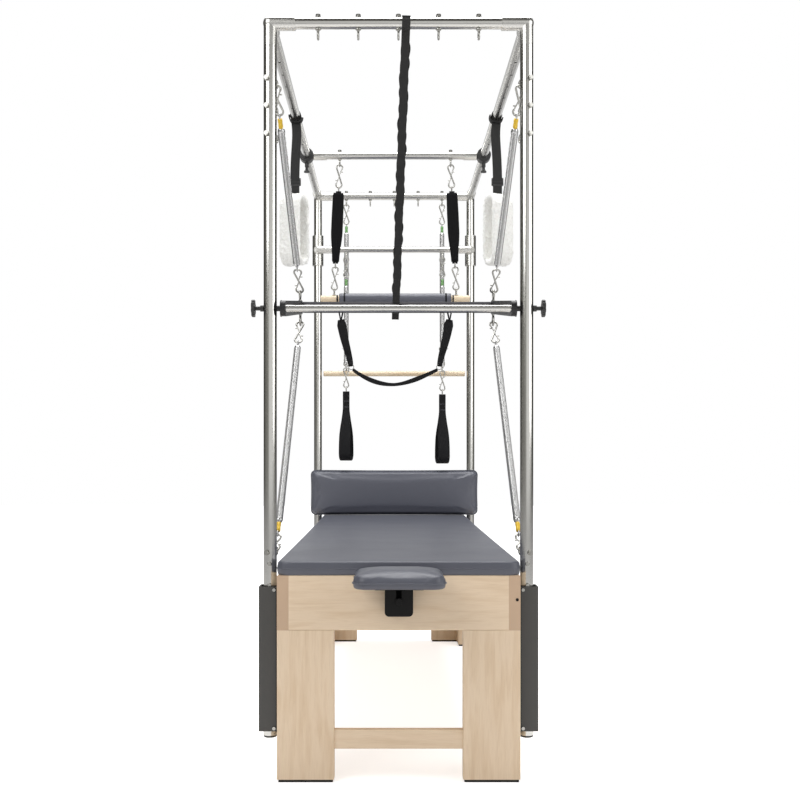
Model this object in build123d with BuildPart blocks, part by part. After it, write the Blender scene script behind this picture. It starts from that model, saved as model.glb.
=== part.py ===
"""A pilates trapeze table: a padded wooden bed under a steel tube canopy with its bars, springs and loops.

The origin is on the floor, under the middle of the whole object. X runs across the bed, Y along it
towards the far end, and Z up. Lengths are in millimetres and angles in degrees.
"""

from build123d import *
import math
import os

# Bed
bed_length = 2250.0
bed_width = 684.0
rail_height = 154.0
rail_thickness = 33.0
bed_height = 581.0
deck_thickness = 18.0
edge_round = 3.0

leg_width = 161.0
leg_depth = 155.0
leg_board = 35.0
leg_wing = 38.0
foot_height = 8.0
foot_inset = 4.0
stretcher_height = 54.0
stretcher_thickness = 25.0
stretcher_bottom = 93.0
stretcher_setback = 6.0

mattress_height = 41.5
mattress_corner = 30.0
mattress_crown = 4.0
mattress_edge = 11.0
cushion_draw_in = 3.0

# Uprights and canopy
total_height = 2180.0
post_spacing = 2100.0
post_offset = 26.5
post_diameter = 38.0
tube_wall = 2.0
post_bottom = 116.0
post_joint_height = 2094.0
cap_thickness = 6.0
sleeve_diameter = 41.0
sleeve_reach = 72.0
socket_depth = 50.0
crossbar_diameter = 33.0
top_rail_diameter = 33.7
tube_fit = 0.15

bracket_bottom = 132.0
bracket_height = 412.0
bracket_wall = 4.0
bracket_plate = 6.0
bracket_depth = 60.0
bracket_plate_depth = 78.0
bracket_gap = 7.0
screw_radius = 4.0
screw_head_radius = 6.5
screw_head_height = 4.5
screw_inset = 9.0
cap_nut_heights = (547.0, 608.0)

rail_hole_pitch = 112.0
rail_hole_count = 15
rail_hole_first = 265.0
rail_hole_radius = 4.2

# Eyebolts, snaps and spring ends
eye_radius = 11.0
eye_wire = 3.0
eye_neck = 5.0
eye_shank_radius = 4.0
washer_radius = 8.0
washer_thickness = 2.0
nut_radius = 7.0
nut_height = 8.0
shank_fit = 0.25
crossbar_eye_pitch = 115.5
post_eye_heights = (1997.0, 1918.0, 1838.0)
low_eye_height = 640.0
post_eye_turn = 20.0
post_eye_play = 1.5
hang_gap = 0.5

snap_ring = 12.0
snap_wire = 3.0
snap_reach = 36.0
small_snap_ring = 10.0
small_snap_reach = 17.0
gate_radius = 2.0
thumb_length = 9.0

spring_radius = 11.5
spring_wire = 2.0
spring_eye = 8.0
spring_eye_wire = 2.2
spring_cone = 14.0
spring_rim = 0.6
tag_length = 30.0
tag_radius = 7.0
plain_neck = 4.0
neck_radius = 4.5
spring_tip_radius = 6.0

# Push-through bar
pivot_height = 1340.0
arm_length = 603.0
arm_tilt = 7.9
arm_width = 45.0
arm_thickness = 12.5
arm_centre = 329.75
pivot_tube_diameter = 20.0
grip_diameter = 38.0
core_diameter = 25.0
hub_radius = 8.0
flange_radius = 24.0
flange_thickness = 3.0
pivot_pin_radius = 6.0
pivot_fit = 0.1
knob_radius = 25.0
knob_thickness = 9.0
knob_face = 412.6
knob_lobes = 8
collar_radius = 9.0
collar_length = 9.0
bar_eye_radius = 15.5
bar_eye_wire = 3.5
bar_eye_neck = 5.0
bar_eye_setback = 16.0
bar_eye_play = 3.0
upper_spring_turns = 94
lower_spring_turns = 99

# Safety strap
strap_width = 26.0
strap_thickness = 3.0
strap_top_x = 22.0
strap_bottom_x = -3.0
strap_step = 46.0
strap_step_rise = 6.0
strap_fit = 0.5
strap_tail = 40.0

# Sliding trapeze crossbar
slider_hole = 10
collar_outer_radius = 29.0
collar_depth = 45.0
slide_fit = 0.3
slider_sleeve_diameter = 36.0
slider_sleeve_length = 55.0
slider_bar_diameter = 30.0
slider_eye_x = 231.0
pin_collar_radius = 8.0
pin_collar_length = 14.0
pin_knob_radius = 11.5
pin_knob_length = 26.0
pin_radius = 3.5
pin_tip_gap = 0.4
pin_travel = 10.0

# Trapeze
trapeze_bar_height = 1563.0
trapeze_bar_diameter = 30.0
trapeze_bar_length = 621.0
trapeze_pad_diameter = 46.0
trapeze_pad_length = 466.0
trapeze_eye_x = 254.0
ring_radius = 12.0
ring_wire = 2.2
loop_widths = (43.0, 57.0, 26.0)
loop_thickness = 20.0
loop_widest = 0.62

# Sling under the trapeze
sling_strand_x = (211.0, 241.0)
sling_strand_width = 6.0
sling_thickness = 4.0
sling_join_height = 1465.0
sling_width = 36.0
sling_seat_width = 27.0
sling_turn_x = 178.0
sling_turn_height = 1285.0
sling_low_height = 1192.0

# Fleece foot loops
fleece_from_front = 860.0
fleece_top = 1879.0
fleece_height = 273.0
fleece_depth = 104.0
fleece_width = 92.0
fleece_wall = 30.0
fleece_turn = 22.0
fleece_strap_width = 38.0
fleece_strap_thickness = 5.0
fleece_knot_radius = 29.0
fleece_shift_x = 6.0

# Rear sliding bar
rear_bar_height = 1896.0
rear_sleeve_diameter = 53.0
rear_sleeve_length = 144.0
rear_stub_diameter = 36.0
rear_stub_length = 42.0
rear_bar_diameter = 28.0
rear_bar_setforward = 32.0

# Roll-down bar and hand loops
rear_hang_x = 231.0
roll_bar_height = 1303.0
roll_bar_diameter = 26.0
roll_bar_length = 683.0
roll_spring_turns = 94
hand_ring_height = 1225.0
hand_ring_radius = 14.0
right_hand_drop = 14.0
hand_loop_length = 328.0
hand_loop_depth = 70.0
hand_loop_width = 56.0
hand_loop_wall = 7.0
hand_loop_turn = 12.0
hand_loop_throat = -70.0
hand_spring_turns = 60

# Headrest
headrest_top = 615.0
headrest_width = 257.0
headrest_depth = 207.0
headrest_height = 48.0
headrest_gap = 17.0
headrest_corner = 22.0
headrest_crown = 5.0
headrest_edge = 12.0
headrest_bracket_width = 78.0
headrest_bracket_depth = 62.0
headrest_bracket_height = 85.0
headrest_bracket_wall = 6.0
headrest_plate_gap = 2.0
post_plate_width = 46.0
post_plate_thickness = 10.0
post_plate_fit = 0.3
button_radius = 10.0
button_height = 6.0
button_stem_radius = 5.0
button_travel = 3.0

# End board
end_board_width = 801.0
end_board_height = 215.0
end_board_thickness = 55.0
end_board_corner = 20.0
end_board_edge = 9.0
end_board_gap = 0.5

# Places worked out from the sizes above
mid_y = (headrest_gap + headrest_depth) / 2
front_y = mid_y - bed_length / 2
rear_y = mid_y + bed_length / 2
front_post_y = mid_y - post_spacing / 2
rear_post_y = mid_y + post_spacing / 2
post_radius = post_diameter / 2
post_x = bed_width / 2 + post_offset
rail_bottom = bed_height - rail_height
mattress_top = bed_height + mattress_height
canopy_z = total_height - sleeve_diameter / 2
top_rail_radius = top_rail_diameter / 2
sides = (-1, 1)

os.makedirs("parts", exist_ok=True)


def save(builder, label):
    """Label a finished piece and write its STEP file."""
    builder.part.label = label
    export_step(builder.part, f"parts/{label}.step")


def unit(x, y, z):
    """A direction of length one."""
    return Vector(x, y, z).normalized()


def corner_points(x, y_from_middle):
    """The four places at plus and minus x, that far before and behind the bed's middle."""
    return [(sx * x, mid_y + sy * y_from_middle) for sx in sides for sy in sides]


# Wooden bed
with BuildPart() as side_rails:
    with BuildSketch(Plane.XY.offset(rail_bottom)):
        with Locations(*[(s * (bed_width - rail_thickness) / 2, mid_y) for s in sides]):
            Rectangle(rail_thickness, bed_length)
    extrude(amount=rail_height)
    fillet(side_rails.edges().filter_by(Axis.Y), edge_round)
save(side_rails, "side_rails")

with BuildPart() as end_rails:
    with BuildSketch(Plane.XY.offset(rail_bottom)):
        with Locations(*[(0, mid_y + s * (bed_length - rail_thickness) / 2) for s in sides]):
            Rectangle(bed_width - 2 * rail_thickness, rail_thickness)
    extrude(amount=rail_height)
    fillet(end_rails.edges().filter_by(Axis.X), edge_round)
save(end_rails, "end_rails")

with BuildPart() as bed_deck:
    with BuildSketch(Plane.XY.offset(bed_height - deck_thickness)):
        with Locations((0, mid_y)):
            Rectangle(bed_width - 2 * rail_thickness, bed_length - 2 * rail_thickness)
    extrude(amount=deck_thickness)
save(bed_deck, "bed_deck")


def leg_outline(inset):
    """Draw the L of each leg, drawn in all round by inset."""
    with Locations(*corner_points((bed_width - leg_width) / 2, (bed_length - leg_board) / 2)):
        Rectangle(leg_width - 2 * inset, leg_board - 2 * inset)
    with Locations(*corner_points((bed_width - leg_wing) / 2, (bed_length - leg_depth) / 2)):
        Rectangle(leg_wing - 2 * inset, leg_depth - 2 * inset)


with BuildPart() as legs:
    with BuildSketch(Plane.XY.offset(foot_height)):
        leg_outline(0)
    extrude(amount=rail_bottom - foot_height)
    fillet(legs.edges().filter_by(Axis.Z), edge_round)
save(legs, "legs")

with BuildPart() as rubber_feet:
    with BuildSketch():
        leg_outline(foot_inset)
    extrude(amount=foot_height)
save(rubber_feet, "rubber_feet")

with BuildPart() as leg_stretchers:
    stretcher_y = bed_length / 2 - stretcher_setback - stretcher_thickness / 2
    with BuildSketch(Plane.XY.offset(stretcher_bottom)):
        with Locations(*[(0, mid_y + s * stretcher_y) for s in sides]):
            Rectangle(bed_width - 2 * leg_width, stretcher_thickness)
    extrude(amount=stretcher_height)
    fillet(leg_stretchers.edges().filter_by(Axis.X), edge_round)
save(leg_stretchers, "leg_stretchers")


def cushion_plan(width, length, corner):
    """Draw a cushion's plan: four sides that draw in between rounded corners."""
    x, y = width / 2, length / 2
    with BuildLine() as plan:
        ThreePointArc((-x, -y), (0, -y + cushion_draw_in), (x, -y))
        ThreePointArc((x, -y), (x - cushion_draw_in, 0), (x, y))
        ThreePointArc((x, y), (0, y - cushion_draw_in), (-x, y))
        ThreePointArc((-x, y), (-x + cushion_draw_in, 0), (-x, -y))
    make_face(plan.line)
    fillet(vertices(), corner)


def crowned_section(width, height, crown):
    """Draw a cushion's cross section, flat below and arched by crown on top."""
    x = width / 2
    with BuildLine() as section:
        Polyline((-x, height - crown), (-x, 0), (x, 0), (x, height - crown))
        ThreePointArc((x, height - crown), (0, height), (-x, height - crown))
    make_face(section.line)


with BuildPart() as mattress:
    with BuildSketch(Plane((0, front_y, bed_height), x_dir=(1, 0, 0), z_dir=(0, -1, 0))):
        crowned_section(bed_width, mattress_height, mattress_crown)
    extrude(amount=-bed_length)
    with BuildSketch(Plane((0, mid_y, bed_height))):
        cushion_plan(bed_width, bed_length, mattress_corner)
    extrude(amount=mattress_height, mode=Mode.INTERSECT)
    fillet(mattress.faces().sort_by(Axis.Z)[-1].edges(), mattress_edge)
save(mattress, "mattress")

# Uprights and canopy
post_points = corner_points(post_x, post_spacing / 2)
front_posts = [(s * post_x, front_post_y) for s in sides]
bracket_outer = bed_width / 2 + post_offset + post_radius + bracket_gap + bracket_wall


def post_eye_plane(side, height):
    """The seat of an eyebolt on a front upright: it points to the rear and a little inwards."""
    turn = math.radians(post_eye_turn)
    out = Vector(-side * math.sin(turn), math.cos(turn), 0)
    seat = Vector(side * post_x, front_post_y, height) + out * post_radius
    return Plane(seat, x_dir=(math.cos(turn), side * math.sin(turn), 0), z_dir=out)


post_eye_seats = [
    post_eye_plane(side, height) for side in sides for height in (*post_eye_heights, low_eye_height)
]

with BuildPart() as uprights:
    with BuildSketch(Plane.XY.offset(post_bottom)):
        with Locations(*post_points):
            Circle(post_radius)
            Circle(post_radius - tube_wall, mode=Mode.SUBTRACT)
    extrude(amount=post_joint_height - post_bottom)
    for seat in post_eye_seats:
        with BuildSketch(seat.offset(1)):
            Circle(eye_shank_radius + shank_fit)
        extrude(amount=-(post_diameter + 2), mode=Mode.SUBTRACT)
    for side in sides:
        with BuildSketch(Plane((side * (post_x - post_radius - 1), front_post_y, pivot_height), z_dir=(side, 0, 0))):
            Circle(pivot_pin_radius + pivot_fit)
        extrude(amount=post_diameter + 2, mode=Mode.SUBTRACT)
save(uprights, "uprights")

with BuildPart() as upright_end_caps:
    with BuildSketch(Plane.XY.offset(post_bottom - cap_thickness)):
        with Locations(*post_points):
            Circle(post_radius)
    extrude(amount=cap_thickness)
    fillet(upright_end_caps.faces().group_by(Axis.Z)[0].edges(), edge_round)
    with BuildSketch(Plane.XY.offset(post_bottom)):
        with Locations(*post_points):
            Circle(post_radius - tube_wall - tube_fit)
    extrude(amount=2 * cap_thickness)
save(upright_end_caps, "upright_end_caps")

with BuildPart() as upright_brackets:
    plate_x = bed_width / 2 + bracket_plate / 2
    channel_width = bracket_outer - bed_width / 2 - bracket_plate
    channel_x = bed_width / 2 + bracket_plate + channel_width / 2
    with BuildSketch(Plane.XY.offset(bracket_bottom)):
        with Locations(*corner_points(plate_x, post_spacing / 2)):
            Rectangle(bracket_plate, bracket_plate_depth)
        with Locations(*corner_points(channel_x, post_spacing / 2)):
            Rectangle(channel_width, bracket_depth)
            Rectangle(channel_width - 2 * bracket_wall, bracket_depth - 2 * bracket_wall, mode=Mode.SUBTRACT)
        with Locations(*corner_points(channel_x - bracket_wall, post_spacing / 2)):
            Rectangle(channel_width - 2 * bracket_wall, bracket_depth - 2 * bracket_wall, mode=Mode.SUBTRACT)
    extrude(amount=bracket_height)
    fillet(upright_brackets.edges().filter_by(Axis.Z).group_by(SortBy.LENGTH)[-1].filter_by_position(
        Axis.X, bracket_outer - 0.1, bracket_outer + 0.1), edge_round)
    fillet(upright_brackets.edges().filter_by(Axis.Z).group_by(SortBy.LENGTH)[-1].filter_by_position(
        Axis.X, -bracket_outer - 0.1, -bracket_outer + 0.1), edge_round)
save(upright_brackets, "upright_brackets")


def dome_screw(plane):
    """A screw head standing on the plane's origin, rounded on top."""
    with BuildSketch(plane) as head:
        Circle(screw_head_radius)
    extrude(head.sketch, amount=screw_head_height, taper=20)


with BuildPart() as bracket_screws:
    for sx in sides:
        for sy in sides:
            flange_x = sx * (bed_width / 2 + bracket_plate + screw_head_radius)
            face_y = mid_y + sy * (post_spacing / 2 + bracket_depth / 2)
            for height in (bracket_bottom + screw_inset, bracket_bottom + bracket_height - screw_inset):
                dome_screw(Plane((flange_x, face_y, height), x_dir=(1, 0, 0), z_dir=(0, sy, 0)))
            nut_y = mid_y + sy * (post_spacing / 2 + post_radius)
            for height in cap_nut_heights:
                dome_screw(Plane((sx * post_x, nut_y, height), x_dir=(1, 0, 0), z_dir=(0, sy, 0)))
save(bracket_screws, "bracket_screws")

crossbar_radius = crossbar_diameter / 2
sleeve_radius = sleeve_diameter / 2
crossbar_reach = post_x - sleeve_reach + socket_depth
top_rail_reach = post_spacing / 2 - sleeve_reach + socket_depth

with BuildPart() as corner_fittings:
    for sx in sides:
        for sy in sides:
            corner = Vector(sx * post_x, mid_y + sy * post_spacing / 2, canopy_z)
            across = Plane(corner, x_dir=(0, 1, 0), z_dir=(-sx, 0, 0))
            along = Plane(corner, x_dir=(1, 0, 0), z_dir=(0, -sy, 0))
            down = Plane(corner, x_dir=(1, 0, 0), z_dir=(0, 0, -1))
            with Locations(corner):
                Sphere(sleeve_radius)
            for plane in (across, along):
                with BuildSketch(plane):
                    Circle(sleeve_radius)
                extrude(amount=sleeve_reach)
            with BuildSketch(down):
                Circle(post_radius)
            extrude(amount=canopy_z - post_joint_height)
            with BuildSketch(down.offset(canopy_z - post_joint_height)):
                Circle(post_radius - tube_wall - tube_fit)
            extrude(amount=sleeve_reach)
            for plane, radius in ((across, crossbar_radius), (along, top_rail_radius)):
                with BuildSketch(plane.offset(sleeve_reach - socket_depth)):
                    Circle(radius + tube_fit)
                extrude(amount=socket_depth + 1, mode=Mode.SUBTRACT)
save(corner_fittings, "corner_fittings")

crossbar_eye_x = [crossbar_eye_pitch * k for k in (-2, -1, 0, 1, 2)]
crossbar_seats = [
    Plane((x, y, canopy_z - crossbar_radius), x_dir=(1, 0, 0), z_dir=(0, 0, -1))
    for y in (front_post_y, rear_post_y)
    for x in crossbar_eye_x
]


def drill_for_eyes(seats, diameter):
    """Drill the shank holes of the eyebolts on the given seats through a tube of this diameter."""
    for seat in seats:
        with BuildSketch(seat.offset(1)) as hole:
            Circle(eye_shank_radius + shank_fit)
        extrude(hole.sketch, amount=-(diameter + 2), mode=Mode.SUBTRACT)


with BuildPart() as end_crossbars:
    for y in (front_post_y, rear_post_y):
        with BuildSketch(Plane((-crossbar_reach, y, canopy_z), z_dir=(1, 0, 0))):
            Circle(crossbar_radius)
            Circle(crossbar_radius - tube_wall, mode=Mode.SUBTRACT)
        extrude(amount=2 * crossbar_reach)
    drill_for_eyes(crossbar_seats, crossbar_diameter)
save(end_crossbars, "end_crossbars")

rail_holes = [front_post_y + rail_hole_first + k * rail_hole_pitch for k in range(rail_hole_count)]

with BuildPart() as top_rails:
    for side in sides:
        with BuildSketch(Plane((side * post_x, mid_y - top_rail_reach, canopy_z), x_dir=(1, 0, 0), z_dir=(0, 1, 0))):
            Circle(top_rail_radius)
            Circle(top_rail_radius - tube_wall, mode=Mode.SUBTRACT)
        extrude(amount=2 * top_rail_reach)
    with BuildSketch(Plane.XY.offset(canopy_z - top_rail_radius - 1)):
        with Locations(*[(side * post_x, y) for side in sides for y in rail_holes]):
            Circle(rail_hole_radius)
    extrude(amount=top_rail_radius, mode=Mode.SUBTRACT)
save(top_rails, "top_rails")


def add_eyebolt(seat, grip, ring=eye_radius, wire=eye_wire, neck=eye_neck):
    """An eyebolt on its seat plane, its ring's axis along the plane's x, nutted beyond the grip."""
    with BuildSketch(seat.offset(-(grip + washer_thickness + nut_height))) as shank:
        Circle(eye_shank_radius)
    extrude(shank.sketch, amount=grip + 2 * washer_thickness + nut_height + neck)
    with BuildSketch(seat, seat.offset(-grip - washer_thickness)) as washers:
        Circle(washer_radius)
    extrude(washers.sketch, amount=washer_thickness)
    with BuildSketch(seat.offset(-grip - washer_thickness - nut_height + 1)) as nut:
        RegularPolygon(nut_radius, 6)
    extrude(nut.sketch, amount=nut_height - 1)
    centre = seat.origin + seat.z_dir * (washer_thickness + neck + ring)
    with Locations(Plane(centre, x_dir=seat.y_dir, z_dir=seat.x_dir).location):
        Torus(ring, wire)


def eye_centre(seat, ring=eye_radius, neck=eye_neck):
    """The centre of the ring of an eyebolt on the seat."""
    return seat.origin + seat.z_dir * (washer_thickness + neck + ring)


with BuildPart() as frame_eyebolts:
    for seat in crossbar_seats:
        add_eyebolt(seat, crossbar_diameter)
    for seat in post_eye_seats:
        add_eyebolt(seat, post_diameter)
save(frame_eyebolts, "frame_eyebolts")


# Snaps and springs, which are made once along Z and set in place on their chains
def snap_wire_path(ring, reach):
    """The S of a double-ended snap: two hooks joined by their common tangent."""
    lean = math.degrees(math.asin(ring / reach))
    CenterArc((0, reach), ring, 215, -(215 + lean))
    tangent = math.sqrt(reach**2 - ring**2)
    a, b = math.sin(math.radians(lean)) * tangent, math.cos(math.radians(lean)) * tangent
    Line((a, b), (-a, -b))
    CenterArc((0, -reach), ring, 180 - lean, 215 + lean)


def make_snap(ring, reach):
    """A double-ended snap about the origin, its length along Z and its hooks opening to X."""
    with BuildPart() as snap:
        with BuildLine(Plane.XZ) as wire:
            snap_wire_path(ring, reach)
        with BuildSketch(Plane(origin=wire.line @ 0, z_dir=wire.line % 0)):
            Circle(snap_wire)
        sweep(path=wire.line)
        for way in sides:
            tip = Vector(ring * math.cos(math.radians(215)), 0, reach + ring * math.sin(math.radians(215))) * way
            root = Vector(0, 0, reach * 0.1 * way)
            gate = tip - root
            with BuildSketch(Plane(origin=root, z_dir=gate)):
                Circle(gate_radius)
            extrude(amount=gate.length)
            stud = root + gate * 0.55
            with BuildSketch(Plane(origin=stud, z_dir=(-way, 0, 0))):
                Circle(gate_radius)
            extrude(amount=thumb_length)
    return snap.part


double_snap = make_snap(snap_ring, snap_reach)
small_snap = make_snap(small_snap_ring, small_snap_reach)
snap_span = snap_reach + snap_ring
small_snap_span = small_snap_reach + small_snap_ring


def biarc(start, start_way, end, end_way):
    """Two arcs, each as its start, middle and end, that leave start and reach end along the given ways."""
    across, ways = end - start, start_way + end_way
    a, b, c = ways.dot(ways) - 4, -2 * across.dot(ways), across.dot(across)
    reach = (-b - math.sqrt(b * b - 4 * a * c)) / (2 * a)
    knees = start + start_way * reach, end - end_way * reach
    join = (knees[0] + knees[1]) / 2
    arcs = []
    for first, knee, last in ((start, knees[0], join), (join, knees[1], end)):
        middle = (first + last) / 2
        rise, half = (knee - middle).length, (last - first).length / 2
        lift = half * math.tan(math.atan2(rise, half) / 2) / rise
        arcs.append((first, middle + (knee - middle) * lift, last))
    return arcs


def coil_gap(points, wire):
    """The least gap between turns of a wire through these points, which stand eight to a turn."""
    gaps = []
    for here, point in enumerate(points):
        for other in points[here + 5 : here + 13]:
            gaps.append((other - point).length - 2 * wire)
    return min(gaps)


def make_spring(length, turns, tagged=True):
    """A spring along Z between the centres of its two end eyes, its tag at the start.

    The wire is one tube. It leaves each cone straight, turns into the coil and winds up the body.
    """
    neck = tag_length if tagged else plain_neck
    start = spring_eye + neck + spring_cone
    coil_length = length - start - (spring_eye + plain_neck + spring_cone)
    wound_radius = spring_radius - spring_wire
    lead = 6 * spring_wire
    pitch = (coil_length - 2 * lead) / turns

    def on_coil(turn):
        """The point and the way of the wire after this many turns."""
        angle = 2 * math.pi * turn
        at = Vector(wound_radius * math.cos(angle), wound_radius * math.sin(angle), start + lead + pitch * turn)
        way = unit(-wound_radius * math.sin(angle), wound_radius * math.cos(angle), pitch / (2 * math.pi))
        return at, way

    up = Vector(0, 0, 1)
    first, first_way = on_coil(0)
    last, last_way = on_coil(turns)
    turn_in = math.radians(-55)
    inlet = Vector(wound_radius * math.cos(turn_in), wound_radius * math.sin(turn_in), start)
    outlet = Vector(wound_radius * math.cos(-turn_in), wound_radius * math.sin(-turn_in), start + coil_length)
    straight = up * (2 * spring_wire)
    arcs = biarc(inlet + straight, up, first, first_way)
    for half_turn in range(2 * turns):
        arcs += biarc(*on_coil(half_turn / 2), *on_coil((half_turn + 1) / 2))
    arcs += biarc(last, last_way, outlet - straight, up)

    with BuildPart() as coil:
        with BuildLine() as wire:
            Line(inlet, inlet + straight)
            for arc in arcs:
                ThreePointArc(*arc)
            Line(outlet - straight, outlet)
        with BuildSketch(Plane(origin=inlet)):
            Circle(spring_wire)
        sweep(path=wire.line)
    middles = [point for arc in arcs[2:-2] for point in arc[:2]]
    wire_length = sum(edge.length for edge in wire.line.edges())
    print(
        f"spring of {turns} turns: pitch {pitch:.2f}, least gap {coil_gap(middles, spring_wire):.2f}, "
        f"volume {coil.part.volume:.0f} for {math.pi * spring_wire**2 * wire_length:.0f}"
    )

    with BuildPart() as ends:
        for level, way, neck_length in ((0, 1, neck), (length, -1, plain_neck)):
            with Locations(Plane((0, 0, level), x_dir=(0, 1, 0), z_dir=(1, 0, 0)).location):
                Torus(spring_eye, spring_eye_wire)
            radius = tag_radius if neck_length == tag_length else neck_radius
            with BuildSketch(Plane((0, 0, level + way * spring_eye), z_dir=(0, 0, way))):
                Circle(radius)
            extrude(amount=neck_length)
            cone_base = level + way * (spring_eye + neck_length)
            with BuildSketch(Plane((0, 0, cone_base), z_dir=(0, 0, way))):
                Circle(spring_tip_radius)
            with BuildSketch(Plane((0, 0, cone_base + way * spring_cone), z_dir=(0, 0, way))):
                Circle(spring_radius + spring_rim)
            loft(ruled=True)
    return coil.part, ends.part


def on_chain(point, way, across=(1, 0, 0)):
    """The location that sets Z along a chain at this point."""
    return Plane(origin=point, x_dir=across, z_dir=way).location


class Chain:
    """A snap, a spring and a second snap in line between two rings.

    The places are measured along the line: each snap's hook hangs in its ring, and the spring's
    eyes hang in the inner hooks.
    """

    def __init__(self, top_ring, bottom_ring, top_hold, bottom_hold, top_span, bottom_span):
        self.way = (bottom_ring - top_ring).normalized()
        eye_hold = spring_eye - spring_eye_wire - snap_wire - hang_gap
        self.top_hook = top_ring + self.way * top_hold
        self.bottom_hook = bottom_ring - self.way * bottom_hold
        self.top_snap = self.top_hook + self.way * top_span
        self.bottom_snap = self.bottom_hook - self.way * bottom_span
        self.spring_start = self.top_snap + self.way * (top_span + eye_hold)
        self.spring_end = self.bottom_snap - self.way * (bottom_span + eye_hold)
        self.spring_length = (self.spring_end - self.spring_start).length


eye_hold = eye_radius - eye_wire - snap_wire - hang_gap

# Push-through bar
pivot = Vector(0, front_post_y, pivot_height)
tilt = math.radians(arm_tilt)
arm_way = Vector(0, math.cos(tilt), math.sin(tilt))
arm_up = Vector(0, -math.sin(tilt), math.cos(tilt))
grip_centre = pivot + arm_way * arm_length


def arm_plane(x):
    """The plane of a push bar arm at this x, its x axis along the arm."""
    return Plane(origin=pivot + Vector(x, 0, 0), x_dir=arm_way, z_dir=(1, 0, 0))


def bar_eye_seat(side, way):
    """The seat of an eyebolt at an arm's end, above it for way 1 and below it for way -1."""
    point = pivot + arm_way * (arm_length - bar_eye_setback) + arm_up * (way * arm_width / 2)
    return Plane(point + Vector(side * arm_centre, 0, 0), x_dir=(1, 0, 0), z_dir=arm_up * way)


with BuildPart() as push_bar_arms:
    for side in sides:
        with BuildSketch(arm_plane(side * arm_centre - arm_thickness / 2)):
            with Locations((arm_length / 2, 0)):
                SlotCenterToCenter(arm_length, arm_width)
            Circle(pivot_pin_radius + pivot_fit, mode=Mode.SUBTRACT)
        extrude(amount=arm_thickness)
        with BuildSketch(bar_eye_seat(side, 1).offset(1)):
            Circle(eye_shank_radius + shank_fit)
        extrude(amount=-(arm_width + 2), mode=Mode.SUBTRACT)
save(push_bar_arms, "push_bar_arms")

arm_inside = arm_centre - arm_thickness / 2
arm_outside = arm_centre + arm_thickness / 2

with BuildPart() as push_bar_pivot_tube:
    with BuildSketch(Plane(pivot - Vector(arm_inside, 0, 0), z_dir=(1, 0, 0))):
        Circle(pivot_tube_diameter / 2)
        Circle(pivot_tube_diameter / 2 - tube_wall, mode=Mode.SUBTRACT)
    extrude(amount=2 * arm_inside)
    for side in sides:
        with BuildSketch(Plane(pivot + Vector(side * arm_outside, 0, 0), z_dir=(side, 0, 0))):
            Circle(flange_radius)
            Circle(pivot_pin_radius + pivot_fit, mode=Mode.SUBTRACT)
        extrude(amount=flange_thickness)
        with BuildSketch(Plane(pivot + Vector(side * (arm_outside + flange_thickness), 0, 0), z_dir=(side, 0, 0))):
            Circle(hub_radius)
            Circle(pivot_pin_radius + pivot_fit, mode=Mode.SUBTRACT)
        extrude(amount=post_x - post_radius - arm_outside - flange_thickness - slide_fit)
save(push_bar_pivot_tube, "push_bar_pivot_tube")

with BuildPart() as push_bar_core:
    with BuildSketch(Plane(grip_centre - Vector(arm_inside, 0, 0), z_dir=(1, 0, 0))):
        Circle(core_diameter / 2)
        Circle(core_diameter / 2 - tube_wall, mode=Mode.SUBTRACT)
    extrude(amount=2 * arm_inside)
save(push_bar_core, "push_bar_core")

with BuildPart() as push_bar_grip:
    with BuildSketch(Plane(grip_centre - Vector(arm_inside - slide_fit, 0, 0), z_dir=(1, 0, 0))):
        Circle(grip_diameter / 2)
        Circle(core_diameter / 2, mode=Mode.SUBTRACT)
    extrude(amount=2 * (arm_inside - slide_fit))
    fillet(push_bar_grip.edges().filter_by(GeomType.CIRCLE).group_by(SortBy.RADIUS)[-1], edge_round)
save(push_bar_grip, "push_bar_grip")

with BuildPart() as push_bar_eyebolts:
    for side in sides:
        upper, lower = bar_eye_seat(side, 1), bar_eye_seat(side, -1)
        with BuildSketch(lower.offset(washer_thickness + bar_eye_neck)):
            Circle(eye_shank_radius)
        extrude(amount=-(arm_width + 2 * washer_thickness + 2 * bar_eye_neck))
        for seat in (upper, lower):
            with BuildSketch(seat):
                Circle(washer_radius - 2)
            extrude(amount=washer_thickness)
            ring = eye_centre(seat, bar_eye_radius, bar_eye_neck)
            with Locations(Plane(ring, x_dir=seat.y_dir, z_dir=seat.x_dir).location):
                Torus(bar_eye_radius, bar_eye_wire)
save(push_bar_eyebolts, "push_bar_eyebolts")


def make_pivot_knob(side):
    """A pivot knob with its collar and the pin that runs through the upright into the arm."""
    with BuildPart() as knob:
        with BuildSketch(Plane(pivot + Vector(side * arm_inside, 0, 0), z_dir=(side, 0, 0))):
            Circle(pivot_pin_radius)
        extrude(amount=knob_face - arm_inside)
        with BuildSketch(Plane(pivot + Vector(side * (post_x + post_radius + slide_fit), 0, 0), z_dir=(side, 0, 0))):
            Circle(collar_radius)
        extrude(amount=collar_length)
        with BuildSketch(Plane(pivot + Vector(side * knob_face, 0, 0), z_dir=(side, 0, 0))):
            Circle(knob_radius)
            with PolarLocations(knob_radius + knob_radius / knob_lobes, knob_lobes):
                Circle(knob_radius / 4, mode=Mode.SUBTRACT)
        extrude(amount=knob_thickness)
        fillet(knob.faces().filter_by(Axis.X).sort_by(Axis.X)[-1 if side > 0 else 0].edges(), 2)
    return knob


left_pivot_knob, right_pivot_knob = make_pivot_knob(-1), make_pivot_knob(1)
save(left_pivot_knob, "left_pivot_knob")
save(right_pivot_knob, "right_pivot_knob")

# Push bar springs, a mirrored pair above the bar and a pair below it
bar_hold = bar_eye_radius - bar_eye_wire - snap_wire - bar_eye_play


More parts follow.
